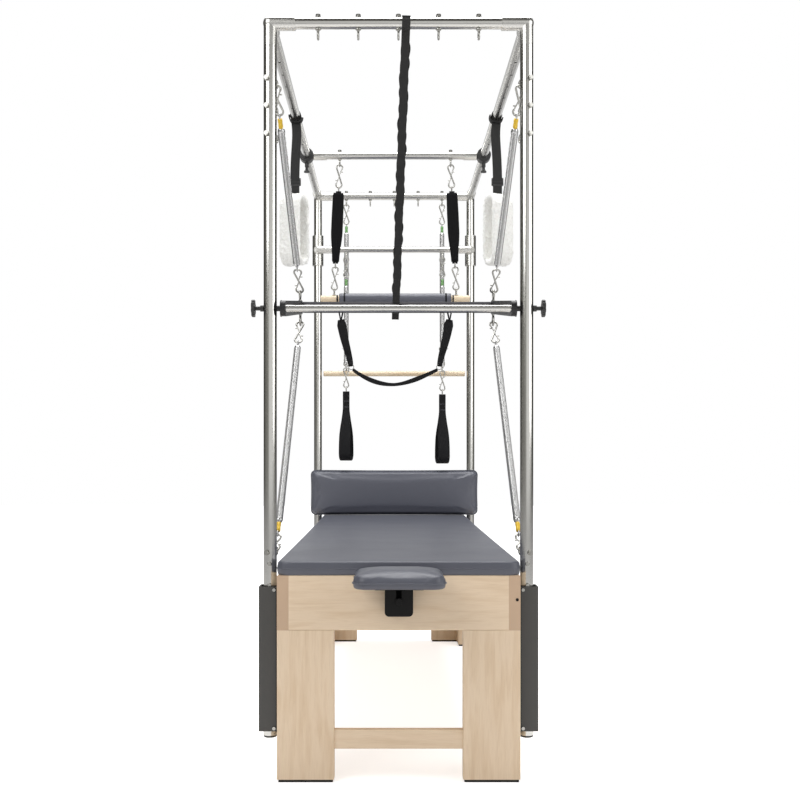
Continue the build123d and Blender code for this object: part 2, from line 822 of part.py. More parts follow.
def push_chain(side, post_height, way):
    """The chain from an upright's eyebolt to the push bar's, above it for way 1 and below for -1."""
    top = eye_centre(post_eye_plane(side, post_height))
    bottom = eye_centre(bar_eye_seat(side, way), bar_eye_radius, bar_eye_neck)
    post_span = snap_span if way > 0 else small_snap_span
    return Chain(top, bottom, eye_hold - post_eye_play, bar_hold, post_span, snap_span)


upper_chains = [push_chain(side, post_eye_heights[0], 1) for side in sides]
lower_chains = [push_chain(side, low_eye_height, -1) for side in sides]


def hang_springs(chains, turns):
    """The springs of these chains in one piece, each with its coil and its ends."""
    coil, ends = make_spring(chains[0].spring_length, turns)
    with BuildPart() as springs:
        with Locations(*[on_chain(chain.spring_start, chain.way) for chain in chains]):
            add(coil)
            add(ends)
    return springs


def hang_snaps(snap, places):
    """Copies of a snap at (point, way) places in one piece."""
    with BuildPart() as snaps:
        with Locations(*[on_chain(point, way) for point, way in places]):
            add(snap)
    return snaps


upper_push_springs = hang_springs(upper_chains, upper_spring_turns)
save(upper_push_springs, "upper_push_springs")
lower_push_springs = hang_springs(lower_chains, lower_spring_turns)
save(lower_push_springs, "lower_push_springs")
upper_post_snaps = hang_snaps(double_snap, [(c.top_snap, c.way) for c in upper_chains])
save(upper_post_snaps, "upper_post_snaps")
upper_bar_snaps = hang_snaps(double_snap, [(c.bottom_snap, c.way) for c in upper_chains])
save(upper_bar_snaps, "upper_bar_snaps")
lower_post_snaps = hang_snaps(small_snap, [(c.top_snap, c.way) for c in lower_chains])
save(lower_post_snaps, "lower_post_snaps")
lower_bar_snaps = hang_snaps(double_snap, [(c.bottom_snap, c.way) for c in lower_chains])
save(lower_bar_snaps, "lower_bar_snaps")

# Safety strap, from the front crossbar down to the push bar's grip
strap_top = Vector(strap_top_x, front_post_y, canopy_z)
strap_bottom = Vector(strap_bottom_x, grip_centre.Y, grip_centre.Z)
strap_way = (strap_bottom - strap_top).normalized()
strap_run = (strap_bottom - strap_top).length
strap_plane = Plane(origin=strap_top, x_dir=strap_way, z_dir=Vector(1, 0, 0) - strap_way * strap_way.X)
grip_radius = grip_diameter / 2

with BuildPart() as safety_strap:
    with BuildSketch(strap_plane.offset(-strap_width / 2)):
        with Locations((0, 0)):
            Circle(crossbar_radius + strap_fit + strap_thickness)
        with Locations((strap_run, 0)):
            Circle(grip_radius + strap_fit + strap_thickness)
        first_step = crossbar_radius + strap_thickness
        step_count = int((strap_run - first_step - grip_radius - strap_thickness) / strap_step)
        step_length = (strap_run - first_step - grip_radius - strap_thickness) / step_count
        with BuildLine():
            Polyline(
                (first_step + step_count * step_length, strap_thickness / 2),
                (first_step + step_count * step_length, -strap_thickness / 2),
                (first_step, -strap_thickness / 2),
                (first_step, strap_thickness / 2),
            )
            for step in range(step_count):
                here = first_step + step * step_length
                ThreePointArc(
                    (here, strap_thickness / 2),
                    (here + step_length / 2, strap_thickness / 2 + strap_step_rise),
                    (here + step_length, strap_thickness / 2),
                )
        make_face()
        with BuildLine():
            Polyline(
                (strap_run, grip_radius),
                (strap_run + strap_tail, grip_radius + strap_step_rise),
                (strap_run + strap_tail, grip_radius + strap_step_rise + strap_thickness),
                (strap_run, grip_radius + strap_fit + strap_thickness),
                close=True,
            )
        make_face()
        Circle(crossbar_radius + strap_fit, mode=Mode.SUBTRACT)
        with Locations((strap_run, 0)):
            Circle(grip_radius + strap_fit, mode=Mode.SUBTRACT)
    extrude(amount=strap_width)
save(safety_strap, "safety_strap")

# Trapeze crossbar that slides on the top rails
slider_y = rail_holes[slider_hole]
slider_z = canopy_z
slider_bar_radius = slider_bar_diameter / 2
slider_seats = [
    Plane((s * slider_eye_x, slider_y, slider_z - slider_bar_radius), x_dir=(1, 0, 0), z_dir=(0, 0, -1)) for s in sides
]
collar_bottom = slider_z - collar_outer_radius

with BuildPart() as slider_collars:
    for side in sides:
        with BuildSketch(Plane((side * post_x, slider_y - collar_depth / 2, slider_z), x_dir=(1, 0, 0), z_dir=(0, 1, 0))):
            Circle(collar_outer_radius)
            Circle(top_rail_radius + slide_fit, mode=Mode.SUBTRACT)
        extrude(amount=collar_depth)
    fillet(slider_collars.edges().filter_by(GeomType.CIRCLE).group_by(SortBy.RADIUS)[-1], edge_round)
    with BuildSketch(Plane.XY.offset(collar_bottom - 1)):
        with Locations(*[(side * post_x, slider_y) for side in sides]):
            Circle(pin_radius + slide_fit)
    extrude(amount=collar_outer_radius, mode=Mode.SUBTRACT)
save(slider_collars, "slider_collars")

sleeve_start = post_x - collar_outer_radius
with BuildPart() as slider_crossbar:
    for side in sides:
        with BuildSketch(Plane((side * sleeve_start, slider_y, slider_z), z_dir=(-side, 0, 0))):
            Circle(slider_sleeve_diameter / 2)
        extrude(amount=slider_sleeve_length)
    fillet(slider_crossbar.edges().filter_by(GeomType.CIRCLE), 2)
    with BuildSketch(Plane((-sleeve_start, slider_y, slider_z), z_dir=(1, 0, 0))):
        Circle(slider_bar_radius)
    extrude(amount=2 * sleeve_start)
    with BuildSketch(Plane((-sleeve_start - 1, slider_y, slider_z), z_dir=(1, 0, 0))):
        Circle(slider_bar_radius - tube_wall)
    extrude(amount=2 * sleeve_start + 2, mode=Mode.SUBTRACT)
    drill_for_eyes(slider_seats, slider_bar_diameter)
save(slider_crossbar, "slider_crossbar")

with BuildPart() as slider_eyebolts:
    for seat in slider_seats:
        add_eyebolt(seat, slider_bar_diameter)
save(slider_eyebolts, "slider_eyebolts")


def make_locking_pin(side):
    """A pull pin under a slider collar: its tip, its guide collar and its waisted knob."""
    tip = slider_z - top_rail_radius - pin_tip_gap
    with BuildPart() as pin:
        with BuildSketch(Plane((side * post_x, slider_y, tip), z_dir=(0, 0, -1))):
            Circle(pin_radius)
        extrude(amount=tip - collar_bottom + pin_collar_length)
        collar_base = collar_bottom - slide_fit
        with BuildSketch(Plane((side * post_x, slider_y, collar_base), z_dir=(0, 0, -1))):
            Circle(pin_collar_radius)
        extrude(amount=pin_collar_length)
        knob_top = collar_base - pin_collar_length
        with BuildSketch(Plane((side * post_x, slider_y, knob_top), x_dir=(1, 0, 0), z_dir=(0, -1, 0))):
            with BuildLine():
                Polyline((0, -pin_knob_length), (0, 0), (pin_knob_radius * 0.8, 0))
                ThreePointArc(
                    (pin_knob_radius * 0.8, 0),
                    (pin_knob_radius * 0.5, -pin_knob_length * 0.4),
                    (pin_knob_radius, -pin_knob_length * 0.8),
                )
                Polyline((pin_knob_radius, -pin_knob_length * 0.8), (pin_knob_radius, -pin_knob_length), (0, -pin_knob_length))
            make_face()
        revolve(axis=Axis((side * post_x, slider_y, 0), (0, 0, 1)))
    return pin


left_locking_pin, right_locking_pin = make_locking_pin(-1), make_locking_pin(1)
save(left_locking_pin, "left_locking_pin")
save(right_locking_pin, "right_locking_pin")

# Trapeze: snaps, padded loops and a padded wooden bar
trapeze_bar_radius = trapeze_bar_diameter / 2
trapeze_eye_z = trapeze_bar_height + trapeze_bar_radius + washer_thickness + eye_neck + eye_radius
trapeze_pad_radius = trapeze_pad_diameter / 2
ring_hold = ring_radius - ring_wire - snap_wire - hang_gap


class TrapezeRope:
    """One side of the trapeze, in line from the slider's eyebolt to the bar's."""

    def __init__(self, seat, side):
        top = eye_centre(seat)
        bottom = Vector(side * trapeze_eye_x, slider_y, trapeze_eye_z)
        self.way = (bottom - top).normalized()
        self.top_hook = top + self.way * eye_hold
        self.snaps = [
            self.top_hook + self.way * snap_span,
            bottom - self.way * (eye_hold + snap_span),
        ]
        self.rings = [
            self.snaps[0] + self.way * (snap_span + ring_hold),
            self.snaps[1] - self.way * (snap_span + ring_hold),
        ]
        ring_room = ring_radius + ring_wire + slide_fit
        self.loop_start = self.rings[0] + self.way * ring_room
        self.loop_length = (self.rings[1] - self.rings[0]).length - 2 * ring_room


ropes = [TrapezeRope(seat, side) for seat, side in zip(slider_seats, sides)]


def add_eye_screw(foot, way):
    """An eye screw standing on a wooden bar at this foot, its ring's axis along X."""
    with BuildSketch(Plane(foot, x_dir=(1, 0, 0), z_dir=way)) as washer:
        Circle(washer_radius)
    extrude(washer.sketch, amount=washer_thickness)
    with BuildSketch(Plane(foot, x_dir=(1, 0, 0), z_dir=way)) as shank:
        Circle(eye_shank_radius)
    extrude(shank.sketch, amount=washer_thickness + eye_neck)
    centre = foot + way * (washer_thickness + eye_neck + eye_radius)
    with Locations(Plane(centre, x_dir=(0, 1, 0), z_dir=(1, 0, 0)).location):
        Torus(eye_radius, eye_wire)


with BuildPart() as trapeze_fittings:
    with Locations(*[on_chain(point, rope.way) for rope in ropes for point in rope.snaps]):
        add(double_snap)
    for rope in ropes:
        for ring in rope.rings:
            with Locations(Plane(ring, x_dir=rope.way, z_dir=(1, 0, 0)).location):
                Torus(ring_radius, ring_wire)
    for side in sides:
        add_eye_screw(Vector(side * trapeze_eye_x, slider_y, trapeze_bar_height + trapeze_bar_radius), Vector(0, 0, 1))
save(trapeze_fittings, "trapeze_fittings")

with BuildPart() as padded_loops:
    for rope, side in zip(ropes, sides):
        top_width, wide_width, end_width = loop_widths
        face = Plane(rope.loop_start, x_dir=(1, 0, 0), z_dir=(0, -1, 0)).rotated(
            (0, 0, math.degrees(math.atan2(rope.way.X, -rope.way.Z)))
        )
        with BuildSketch(face.offset(-loop_thickness / 2)):
            with BuildLine():
                for way in sides:
                    Spline(
                        (way * top_width / 2, 0),
                        (way * wide_width / 2, -rope.loop_length * loop_widest),
                        (way * end_width / 2, -rope.loop_length),
                        tangents=[(0, -1), (-way * 0.35, -1)],
                    )
                Line((-top_width / 2, 0), (top_width / 2, 0))
                Line((-end_width / 2, -rope.loop_length), (end_width / 2, -rope.loop_length))
            make_face()
        extrude(amount=loop_thickness)
save(padded_loops, "padded_loops")

with BuildPart() as trapeze_bar:
    with BuildSketch(Plane((-trapeze_bar_length / 2, slider_y, trapeze_bar_height), z_dir=(1, 0, 0))):
        Circle(trapeze_bar_radius)
    extrude(amount=trapeze_bar_length)
    fillet(trapeze_bar.edges().filter_by(GeomType.CIRCLE), edge_round)
save(trapeze_bar, "trapeze_bar")

with BuildPart() as trapeze_bar_pad:
    with BuildSketch(Plane((-trapeze_pad_length / 2, slider_y, trapeze_bar_height), z_dir=(1, 0, 0))):
        Circle(trapeze_pad_radius)
        Circle(trapeze_bar_radius, mode=Mode.SUBTRACT)
    extrude(amount=trapeze_pad_length)
    fillet(trapeze_bar_pad.edges().filter_by(GeomType.CIRCLE).group_by(SortBy.RADIUS)[-1], edge_round)
save(trapeze_bar_pad, "trapeze_bar_pad")


def sling_edge(drop):
    """The sling's line on one side of its middle, as x and z points with the seat dropped by drop."""
    return (sling_turn_x, sling_turn_height - drop), (0, sling_low_height - drop)


with BuildPart() as trapeze_sling:
    strand_x = sum(sling_strand_x) / 2
    sling_face = Plane((0, slider_y + sling_thickness / 2, 0), x_dir=(1, 0, 0), z_dir=(0, -1, 0))
    with BuildSketch(sling_face):
        with BuildLine():
            for side in sides:
                ThreePointArc(
                    (side * sling_turn_x, sling_turn_height),
                    (side * sling_turn_x * 0.45, sling_low_height + sling_seat_width + 18),
                    (0, sling_low_height + sling_seat_width),
                )
                Polyline(
                    (side * sling_turn_x, sling_turn_height),
                    (side * (strand_x - sling_width / 2), sling_join_height),
                    (side * (strand_x + sling_width / 2), sling_join_height),
                    (side * (sling_turn_x + sling_width * 0.6), sling_turn_height - 12),
                )
                ThreePointArc(
                    (side * (sling_turn_x + sling_width * 0.6), sling_turn_height - 12),
                    (side * sling_turn_x * 0.5, sling_low_height + 16),
                    (0, sling_low_height),
                )
        make_face()
    extrude(amount=sling_thickness)
    for side in sides:
        for x, radius in zip(sling_strand_x, (trapeze_pad_radius, trapeze_bar_radius)):
            with BuildSketch(Plane((side * x - sling_strand_width / 2, slider_y, trapeze_bar_height), z_dir=(1, 0, 0))):
                Circle(radius + slide_fit + sling_thickness)
            extrude(amount=sling_strand_width)
            with BuildSketch(Plane((side * x, slider_y, sling_join_height - edge_round))):
                Rectangle(sling_strand_width, sling_thickness)
            extrude(amount=trapeze_bar_height - radius - sling_join_height)
            with BuildSketch(Plane((side * x - sling_strand_width, slider_y, trapeze_bar_height), z_dir=(1, 0, 0))):
                Circle(radius + slide_fit)
            extrude(amount=2 * sling_strand_width, mode=Mode.SUBTRACT)
save(trapeze_sling, "trapeze_sling")

# Fleece foot loops on straps round the top rails
fleece_y = front_post_y + fleece_from_front


def make_fleece_loop(side):
    """A strap knotted round the top rail and the fleece loop that hangs from it."""
    middle = Vector(side * (post_x + fleece_shift_x), fleece_y, fleece_top - fleece_height / 2)
    turn = math.radians(fleece_turn * side)
    ring_face = Plane(middle, x_dir=(-math.sin(turn), math.cos(turn), 0), z_dir=(math.cos(turn), math.sin(turn), 0))
    hole_height = fleece_height - 2 * fleece_wall
    hole_depth = fleece_depth - 2 * fleece_wall
    with BuildPart() as loop:
        with BuildSketch(ring_face.offset(-fleece_width / 2)):
            RectangleRounded(fleece_depth, fleece_height, fleece_depth / 2 - 1)
            RectangleRounded(hole_depth, hole_height, hole_depth / 2 - 1, mode=Mode.SUBTRACT)
        extrude(amount=fleece_width)
        fillet(loop.edges().filter_by(lambda edge: edge.length > hole_depth * 0.5), 12)
    knot_half = fleece_strap_width / 2
    with BuildPart() as strap:
        with BuildSketch(Plane((side * post_x, fleece_y - knot_half, canopy_z), x_dir=(1, 0, 0), z_dir=(0, 1, 0))):
            Circle(fleece_knot_radius)
            Circle(top_rail_radius + slide_fit, mode=Mode.SUBTRACT)
        extrude(amount=fleece_strap_width)
        with BuildSketch(Plane((side * (post_x + fleece_shift_x / 2), fleece_y, fleece_top))):
            Rectangle(fleece_strap_width, 2 * fleece_strap_thickness)
        extrude(amount=canopy_z - top_rail_radius - slide_fit - 4 - fleece_top)
    with BuildPart() as both:
        add(loop.part)
        add(strap.part)
    return both


left_fleece_loop, right_fleece_loop = make_fleece_loop(-1), make_fleece_loop(1)
save(left_fleece_loop, "left_fleece_loop")
save(right_fleece_loop, "right_fleece_loop")

# Rear bar that slides on the rear uprights
rear_bar_y = rear_post_y - rear_bar_setforward
rear_bar_radius = rear_bar_diameter / 2
rear_sleeve_radius = rear_sleeve_diameter / 2
stub_end = post_x - rear_sleeve_radius - rear_stub_length

with BuildPart() as rear_slide_sleeves:
    for side in sides:
        with BuildSketch(Plane((side * post_x, rear_post_y, rear_bar_height - rear_sleeve_length / 2))):
            Circle(rear_sleeve_radius)
        extrude(amount=rear_sleeve_length)
        with BuildSketch(Plane((side * post_x, rear_bar_y, rear_bar_height), z_dir=(-side, 0, 0))):
            Circle(rear_stub_diameter / 2)
        extrude(amount=post_x - stub_end)
        with BuildSketch(Plane((side * post_x, rear_bar_y, rear_bar_height), z_dir=(0, 1, 0))):
            Circle(rear_stub_diameter / 2)
        extrude(amount=rear_bar_setforward)
        with BuildSketch(Plane((side * post_x, rear_post_y, rear_bar_height - rear_sleeve_length / 2 - 1))):
            Circle(post_radius + slide_fit)
        extrude(amount=rear_sleeve_length + 2, mode=Mode.SUBTRACT)
        with BuildSketch(Plane((side * (stub_end - 1), rear_bar_y, rear_bar_height), z_dir=(side, 0, 0))):
            Circle(rear_bar_radius + tube_fit)
        extrude(amount=rear_stub_length, mode=Mode.SUBTRACT)
save(rear_slide_sleeves, "rear_slide_sleeves")

rear_bar_seats = [
    Plane((s * rear_hang_x, rear_bar_y, rear_bar_height - rear_bar_radius), x_dir=(1, 0, 0), z_dir=(0, 0, -1)) for s in sides
]
rear_bar_reach = stub_end + rear_stub_length - 2

with BuildPart() as rear_slide_bar:
    with BuildSketch(Plane((-rear_bar_reach, rear_bar_y, rear_bar_height), z_dir=(1, 0, 0))):
        Circle(rear_bar_radius)
        Circle(rear_bar_radius - tube_wall, mode=Mode.SUBTRACT)
    extrude(amount=2 * rear_bar_reach)
    for seat in rear_bar_seats:
        add_eye_screw(seat.origin, seat.z_dir)
save(rear_slide_bar, "rear_slide_bar")

# Roll-down bar on two springs from the rear crossbar
roll_bar_radius = roll_bar_diameter / 2
roll_seats = [seat for seat in crossbar_seats if abs(seat.origin.Y - rear_post_y) < 1][0::4]
roll_chains = [
    Chain(
        eye_centre(seat),
        Vector(seat.origin.X, rear_post_y, roll_bar_height + roll_bar_radius + washer_thickness + eye_neck + eye_radius),
        eye_hold,
        eye_hold,
        snap_span,
        snap_span,
    )
    for seat in roll_seats
]

roll_down_springs = hang_springs(roll_chains, roll_spring_turns)
save(roll_down_springs, "roll_down_springs")
roll_down_top_snaps = hang_snaps(double_snap, [(c.top_snap, c.way) for c in roll_chains])
save(roll_down_top_snaps, "roll_down_top_snaps")

with BuildPart() as roll_down_fittings:
    with Locations(*[on_chain(chain.bottom_snap, chain.way) for chain in roll_chains]):
        add(double_snap)
    for chain in roll_chains:
        add_eye_screw(Vector(chain.top_snap.X, rear_post_y, roll_bar_height + roll_bar_radius), Vector(0, 0, 1))
save(roll_down_fittings, "roll_down_fittings")

with BuildPart() as roll_down_bar:
    with BuildSketch(Plane((-roll_bar_length / 2, rear_post_y, roll_bar_height), z_dir=(1, 0, 0))):
        Circle(roll_bar_radius)
    extrude(amount=roll_bar_length)
    fillet(roll_down_bar.edges().filter_by(GeomType.CIRCLE), edge_round)
save(roll_down_bar, "roll_down_bar")


# Hand loops on springs from the rear sliding bar
def hand_chain(seat, side):
    """The chain from the rear bar's eye to a hand loop's ring."""
    drop = right_hand_drop if side > 0 else 0
    ring = Vector(seat.origin.X, rear_bar_y, hand_ring_height - drop)
    hold = hand_ring_radius - ring_wire - snap_wire - hang_gap
    return Chain(eye_centre(seat), ring, eye_hold, hold, snap_span, snap_span)


def make_hand_loop(side):
    """A ring and the webbing loop that hangs from it, its opening facing sideways."""
    drop = right_hand_drop if side > 0 else 0
    ring = Vector(side * rear_hang_x, rear_bar_y, hand_ring_height - drop)
    turn = math.radians(hand_loop_turn * side)
    face = Plane(ring, x_dir=(-math.sin(turn), math.cos(turn), 0), z_dir=(math.cos(turn), math.sin(turn), 0))
    low = -hand_loop_length - hand_ring_radius
    half = hand_loop_depth / 2
    with BuildPart() as loop:
        for inset, mode in ((0, Mode.ADD), (hand_loop_wall, Mode.SUBTRACT)):
            with BuildSketch(face.offset(-hand_loop_width / 2)):
                with BuildLine():
                    RadiusArc((half - inset, low + half), (-half + inset, low + half), half - inset)
                    for way in sides:
                        Line((way * (half - inset), low + half), (way * (hand_loop_wall - inset * 0.8), hand_loop_throat))
                    Line(
                        (-hand_loop_wall + inset * 0.8, hand_loop_throat),
                        (hand_loop_wall - inset * 0.8, hand_loop_throat),
                    )
                make_face()
            extrude(amount=hand_loop_width, mode=mode)
        with BuildSketch(face.offset(-hand_loop_width / 2)):
            with Locations((0, hand_loop_throat / 2)):
                Rectangle(2 * hand_loop_wall, -hand_loop_throat)
            Circle(hand_ring_radius - 2 * ring_wire, mode=Mode.SUBTRACT)
        extrude(amount=hand_loop_width)
        with Locations(Plane(ring, x_dir=(0, 1, 0), z_dir=(1, 0, 0)).location):
            Torus(hand_ring_radius, ring_wire)
    return loop


hand_chains = [hand_chain(seat, side) for seat, side in zip(rear_bar_seats, sides)]
for side, name, chain in zip(sides, ("left", "right"), hand_chains):
    save(hang_springs([chain], hand_spring_turns), f"{name}_hand_spring")
    save(hang_snaps(double_snap, [(chain.top_snap, chain.way)]), f"{name}_hand_top_snap")
    save(hang_snaps(double_snap, [(chain.bottom_snap, chain.way)]), f"{name}_hand_snap")
    save(make_hand_loop(side), f"{name}_hand_loop")

# Headrest in front of the bed, on a flat post in a bracket
headrest_y = front_y - headrest_gap - headrest_depth / 2
bracket_y = front_y - headrest_bracket_depth / 2
pad_base = headrest_top - headrest_height
pad_bottom = pad_base - post_plate_thickness / 2
bracket_top = pad_bottom - headrest_plate_gap

with BuildPart() as headrest_bracket:
    with BuildSketch(Plane((0, front_y, bracket_top), x_dir=(1, 0, 0), z_dir=(0, -1, 0))):
        with Locations((0, -headrest_bracket_height / 2)):
            Rectangle(headrest_bracket_width, headrest_bracket_height)
        fillet(vertices().group_by(Axis.Y)[0], headrest_bracket_wall * 2)
    extrude(amount=headrest_bracket_depth)
    with BuildSketch(Plane((0, bracket_y, bracket_top + 1))):
        Rectangle(post_plate_width + 2 * post_plate_fit, post_plate_thickness + 2 * post_plate_fit)
    extrude(amount=-headrest_bracket_height + headrest_bracket_wall, mode=Mode.SUBTRACT)
    button_z = bracket_top - headrest_bracket_height / 2
    with BuildSketch(Plane((0, front_y - headrest_bracket_depth - 1, button_z), x_dir=(1, 0, 0), z_dir=(0, 1, 0))):
        Circle(button_stem_radius + post_plate_fit)
    extrude(amount=headrest_bracket_depth / 2, mode=Mode.SUBTRACT)
save(headrest_bracket, "headrest_bracket")

with BuildPart() as headrest_post:
    with BuildSketch(Plane((0, bracket_y, pad_bottom))):
        Rectangle(post_plate_width, post_plate_thickness)
    extrude(amount=-headrest_bracket_height + 2 * headrest_bracket_wall)
    with BuildSketch(Plane((0, headrest_y, pad_bottom))):
        Rectangle(headrest_width / 2, headrest_depth / 2)
        with Locations((0, (bracket_y - headrest_y) / 2)):
            Rectangle(post_plate_width, bracket_y - headrest_y + post_plate_thickness)
    extrude(amount=post_plate_thickness / 2)
save(headrest_post, "headrest_post")

with BuildPart() as headrest_button:
    with BuildSketch(Plane((0, front_y - headrest_bracket_depth - button_travel, button_z), x_dir=(1, 0, 0), z_dir=(0, -1, 0))):
        Circle(button_radius)
    extrude(amount=button_height)
    fillet(headrest_button.faces().sort_by(Axis.Y)[0].edges(), 2)
    with BuildSketch(Plane((0, front_y - headrest_bracket_depth - button_travel, button_z), x_dir=(1, 0, 0), z_dir=(0, 1, 0))):
        Circle(button_stem_radius)
    extrude(amount=headrest_bracket_depth / 4)
save(headrest_button, "headrest_button")

with BuildPart() as headrest_pad:
    with BuildSketch(Plane((0, headrest_y - headrest_depth / 2, pad_base), x_dir=(1, 0, 0), z_dir=(0, -1, 0))):
        crowned_section(headrest_width, headrest_height, headrest_crown)
    extrude(amount=-headrest_depth)
    with BuildSketch(Plane((0, headrest_y, pad_base))):
        cushion_plan(headrest_width, headrest_depth, headrest_corner)
    extrude(amount=headrest_height, mode=Mode.INTERSECT)
    fillet(headrest_pad.faces().sort_by(Axis.Z)[-1].edges(), headrest_edge)
save(headrest_pad, "headrest_pad")

# Padded board across the far end of the mattress
end_board_y = rear_post_y - post_radius - end_board_gap - end_board_thickness

with BuildPart() as end_board:
    with BuildSketch(Plane((0, end_board_y, mattress_top + end_board_gap), x_dir=(1, 0, 0), z_dir=(0, 1, 0))):
        with Locations((0, -end_board_height / 2)):
            Rectangle(end_board_width, end_board_height)
        fillet(vertices(), end_board_corner)
    extrude(amount=end_board_thickness)
    fillet(end_board.faces().sort_by(Axis.Y)[0].edges(), end_board_edge)
    fillet(end_board.faces().sort_by(Axis.Y)[-1].edges(), end_board_edge)
save(end_board, "end_board")
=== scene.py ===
"""The look of a pilates trapeze table: its cushions, springs, straps and loops, finishes, light and camera.

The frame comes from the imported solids. X runs across the bed, Y along it to the far end and Z up.
Lengths are in metres.
"""

import math

import bmesh
import bpy
from mathutils import Matrix, Vector, noise


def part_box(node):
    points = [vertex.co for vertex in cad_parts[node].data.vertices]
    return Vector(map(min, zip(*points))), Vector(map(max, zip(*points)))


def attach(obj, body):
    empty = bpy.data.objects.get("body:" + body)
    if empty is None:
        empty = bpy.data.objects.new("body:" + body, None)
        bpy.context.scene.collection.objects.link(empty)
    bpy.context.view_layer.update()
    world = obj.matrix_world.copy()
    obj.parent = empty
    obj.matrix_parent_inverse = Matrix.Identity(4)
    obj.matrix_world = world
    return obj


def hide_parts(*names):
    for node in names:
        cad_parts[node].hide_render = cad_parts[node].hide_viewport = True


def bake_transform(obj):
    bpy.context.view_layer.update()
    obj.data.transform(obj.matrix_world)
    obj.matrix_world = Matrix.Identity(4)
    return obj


bl_info = {
    "name": "Trapeze Table",
    "version": (1, 0, 0),
    "blender": (4, 2, 0),
    "location": "View3D > Sidebar > Trapeze Table",
    "description": "Dresses the solids of a trapeze table with cushions, springs, webbing and finishes",
    "category": "Object",
}

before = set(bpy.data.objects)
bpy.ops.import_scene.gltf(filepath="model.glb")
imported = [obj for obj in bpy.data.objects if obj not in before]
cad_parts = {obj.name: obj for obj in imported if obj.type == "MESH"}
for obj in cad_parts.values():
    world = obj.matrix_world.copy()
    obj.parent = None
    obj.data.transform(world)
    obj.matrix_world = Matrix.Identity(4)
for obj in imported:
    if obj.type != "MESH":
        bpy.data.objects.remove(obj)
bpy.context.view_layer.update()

X, Y, Z = Vector((1, 0, 0)), Vector((0, 1, 0)), Vector((0, 0, 1))
SIDES = (-1, 1)

# Places that the pieces share with the solids
FRONT_POST_Y, REAR_POST_Y, REAR_BAR_Y = -0.938, 1.162, 1.130
SLIDER_Y, FLEECE_Y = 0.447, -0.078
CANOPY_Z, POST_X, HANG_X = 2.1595, 0.3685, 0.231
GRIP = Vector((-0.003, -0.3407, 1.4229))
STRAP_TOP = Vector((0.022, FRONT_POST_Y, CANOPY_Z))
TRAPEZE_BAR_Z = 1.563
HUB_X, FLANGE_X = 0.3305, 0.3545

# Springs: start, end, the stem of the names of the bodies at both ends, and the tag's colour
SPRINGS = {
    "upper_push_springs": ((0.3524, -0.8311, 1.9260), (0.3333, -0.4371, 1.5384), "upper_spring", "yellow_tag"),
    "lower_push_springs": ((0.3542, -0.8676, 0.6874), (0.3327, -0.4130, 1.2927), "lower_spring", "yellow_tag"),
    "roll_down_springs": ((0.231, 1.162, 2.0222), (0.231, 1.162, 1.4368), "roll_down", "green_tag"),
    "left_hand_spring": ((-0.231, 1.130, 1.7612), (-0.231, 1.130, 1.3316), "left_hand", "green_tag"),
    "right_hand_spring": ((0.231, 1.130, 1.7612), (0.231, 1.130, 1.3176), "right_hand", "green_tag"),
}
SPRING_EYE, SPRING_EYE_WIRE, SPRING_CONE = 0.008, 0.0022, 0.014
TAG_LENGTH, TAG_RADIUS, PLAIN_NECK = 0.030, 0.007, 0.004


# Shapes, each added to a bmesh


def circle_section(radius, count=12):
    """Points of a round section."""
    turns = [2 * math.pi * i / count for i in range(count)]
    return [(radius * math.cos(t), radius * math.sin(t)) for t in turns]


def flat_section(width, thickness, count=20, power=0.28):
    """Points of a flat section with soft edges."""
    points = []
    for i in range(count):
        angle = 2 * math.pi * (i + 0.5) / count
        c, s = math.cos(angle), math.sin(angle)
        points.append(
            (
                width / 2 * math.copysign(abs(c) ** power, c),
                thickness / 2 * math.copysign(abs(s) ** power, s),
            )
        )
    return points


def way_at(points, i, closed):
    """The direction of a path at one of its points."""
    if closed:
        return (points[(i + 1) % len(points)] - points[i - 1]).normalized()
    return (points[min(i + 1, len(points) - 1)] - points[max(i - 1, 0)]).normalized()


def sweep(bm, points, section, across=None, closed=False, material=0):
    """Sweep a section along a path. The section is a list, or a function of the share of the way."""
    uv = bm.loops.layers.uv.verify()
    rings, lengths, side, along = [], [], None, 0.0
    for i, point in enumerate(points):
        way = way_at(points, i, closed)
        guess = across if across is not None else side
        if guess is None:
            guess = way.orthogonal()
        side = (guess - way * guess.dot(way)).normalized()
        up = way.cross(side)
        share = i / max(1, len(points) - 1)
        ring = section(share) if callable(section) else section
        rings.append([bm.verts.new(point + side * u + up * v) for u, v in ring])
        if i:
            along += (point - points[i - 1]).length
        lengths.append(along)
    count = len(rings[0])
    edge = sum(
        (rings[0][j].co - rings[0][j - 1].co).length for j in range(count)
    )
    pairs = list(zip(range(len(rings) - 1), range(1, len(rings))))
    if closed:
        pairs.append((len(rings) - 1, 0))
    for a, b in pairs:
        last = lengths[b] if b else lengths[a] + (points[0] - points[a]).length
        for j in range(count):
            k = (j + 1) % count
            face = bm.faces.new((rings[a][j], rings[a][k], rings[b][k], rings[b][j]))
            face.material_index, face.smooth = material, True
            corners = ((j, lengths[a]), (j + 1, lengths[a]), (j + 1, last), (j, last))
            for loop, (u, v) in zip(face.loops, corners):
                loop[uv].uv = (edge * u / count, v)
    if not closed:
        for ring in (rings[0][::-1], rings[-1]):
            cap = bm.faces.new(ring)
            cap.material_index = material
    return rings


def spin_round(bm, parts, centre, axis, steps, material):
    """Spin edges once round an axis into smooth faces of one material."""
    old = len(bm.faces)
    bmesh.ops.spin(bm, geom=parts, cent=centre, axis=axis, angle=2 * math.pi, steps=steps, use_merge=True)
    bm.faces.ensure_lookup_table()
    for face in bm.faces[old:]:
        face.material_index, face.smooth = material, True


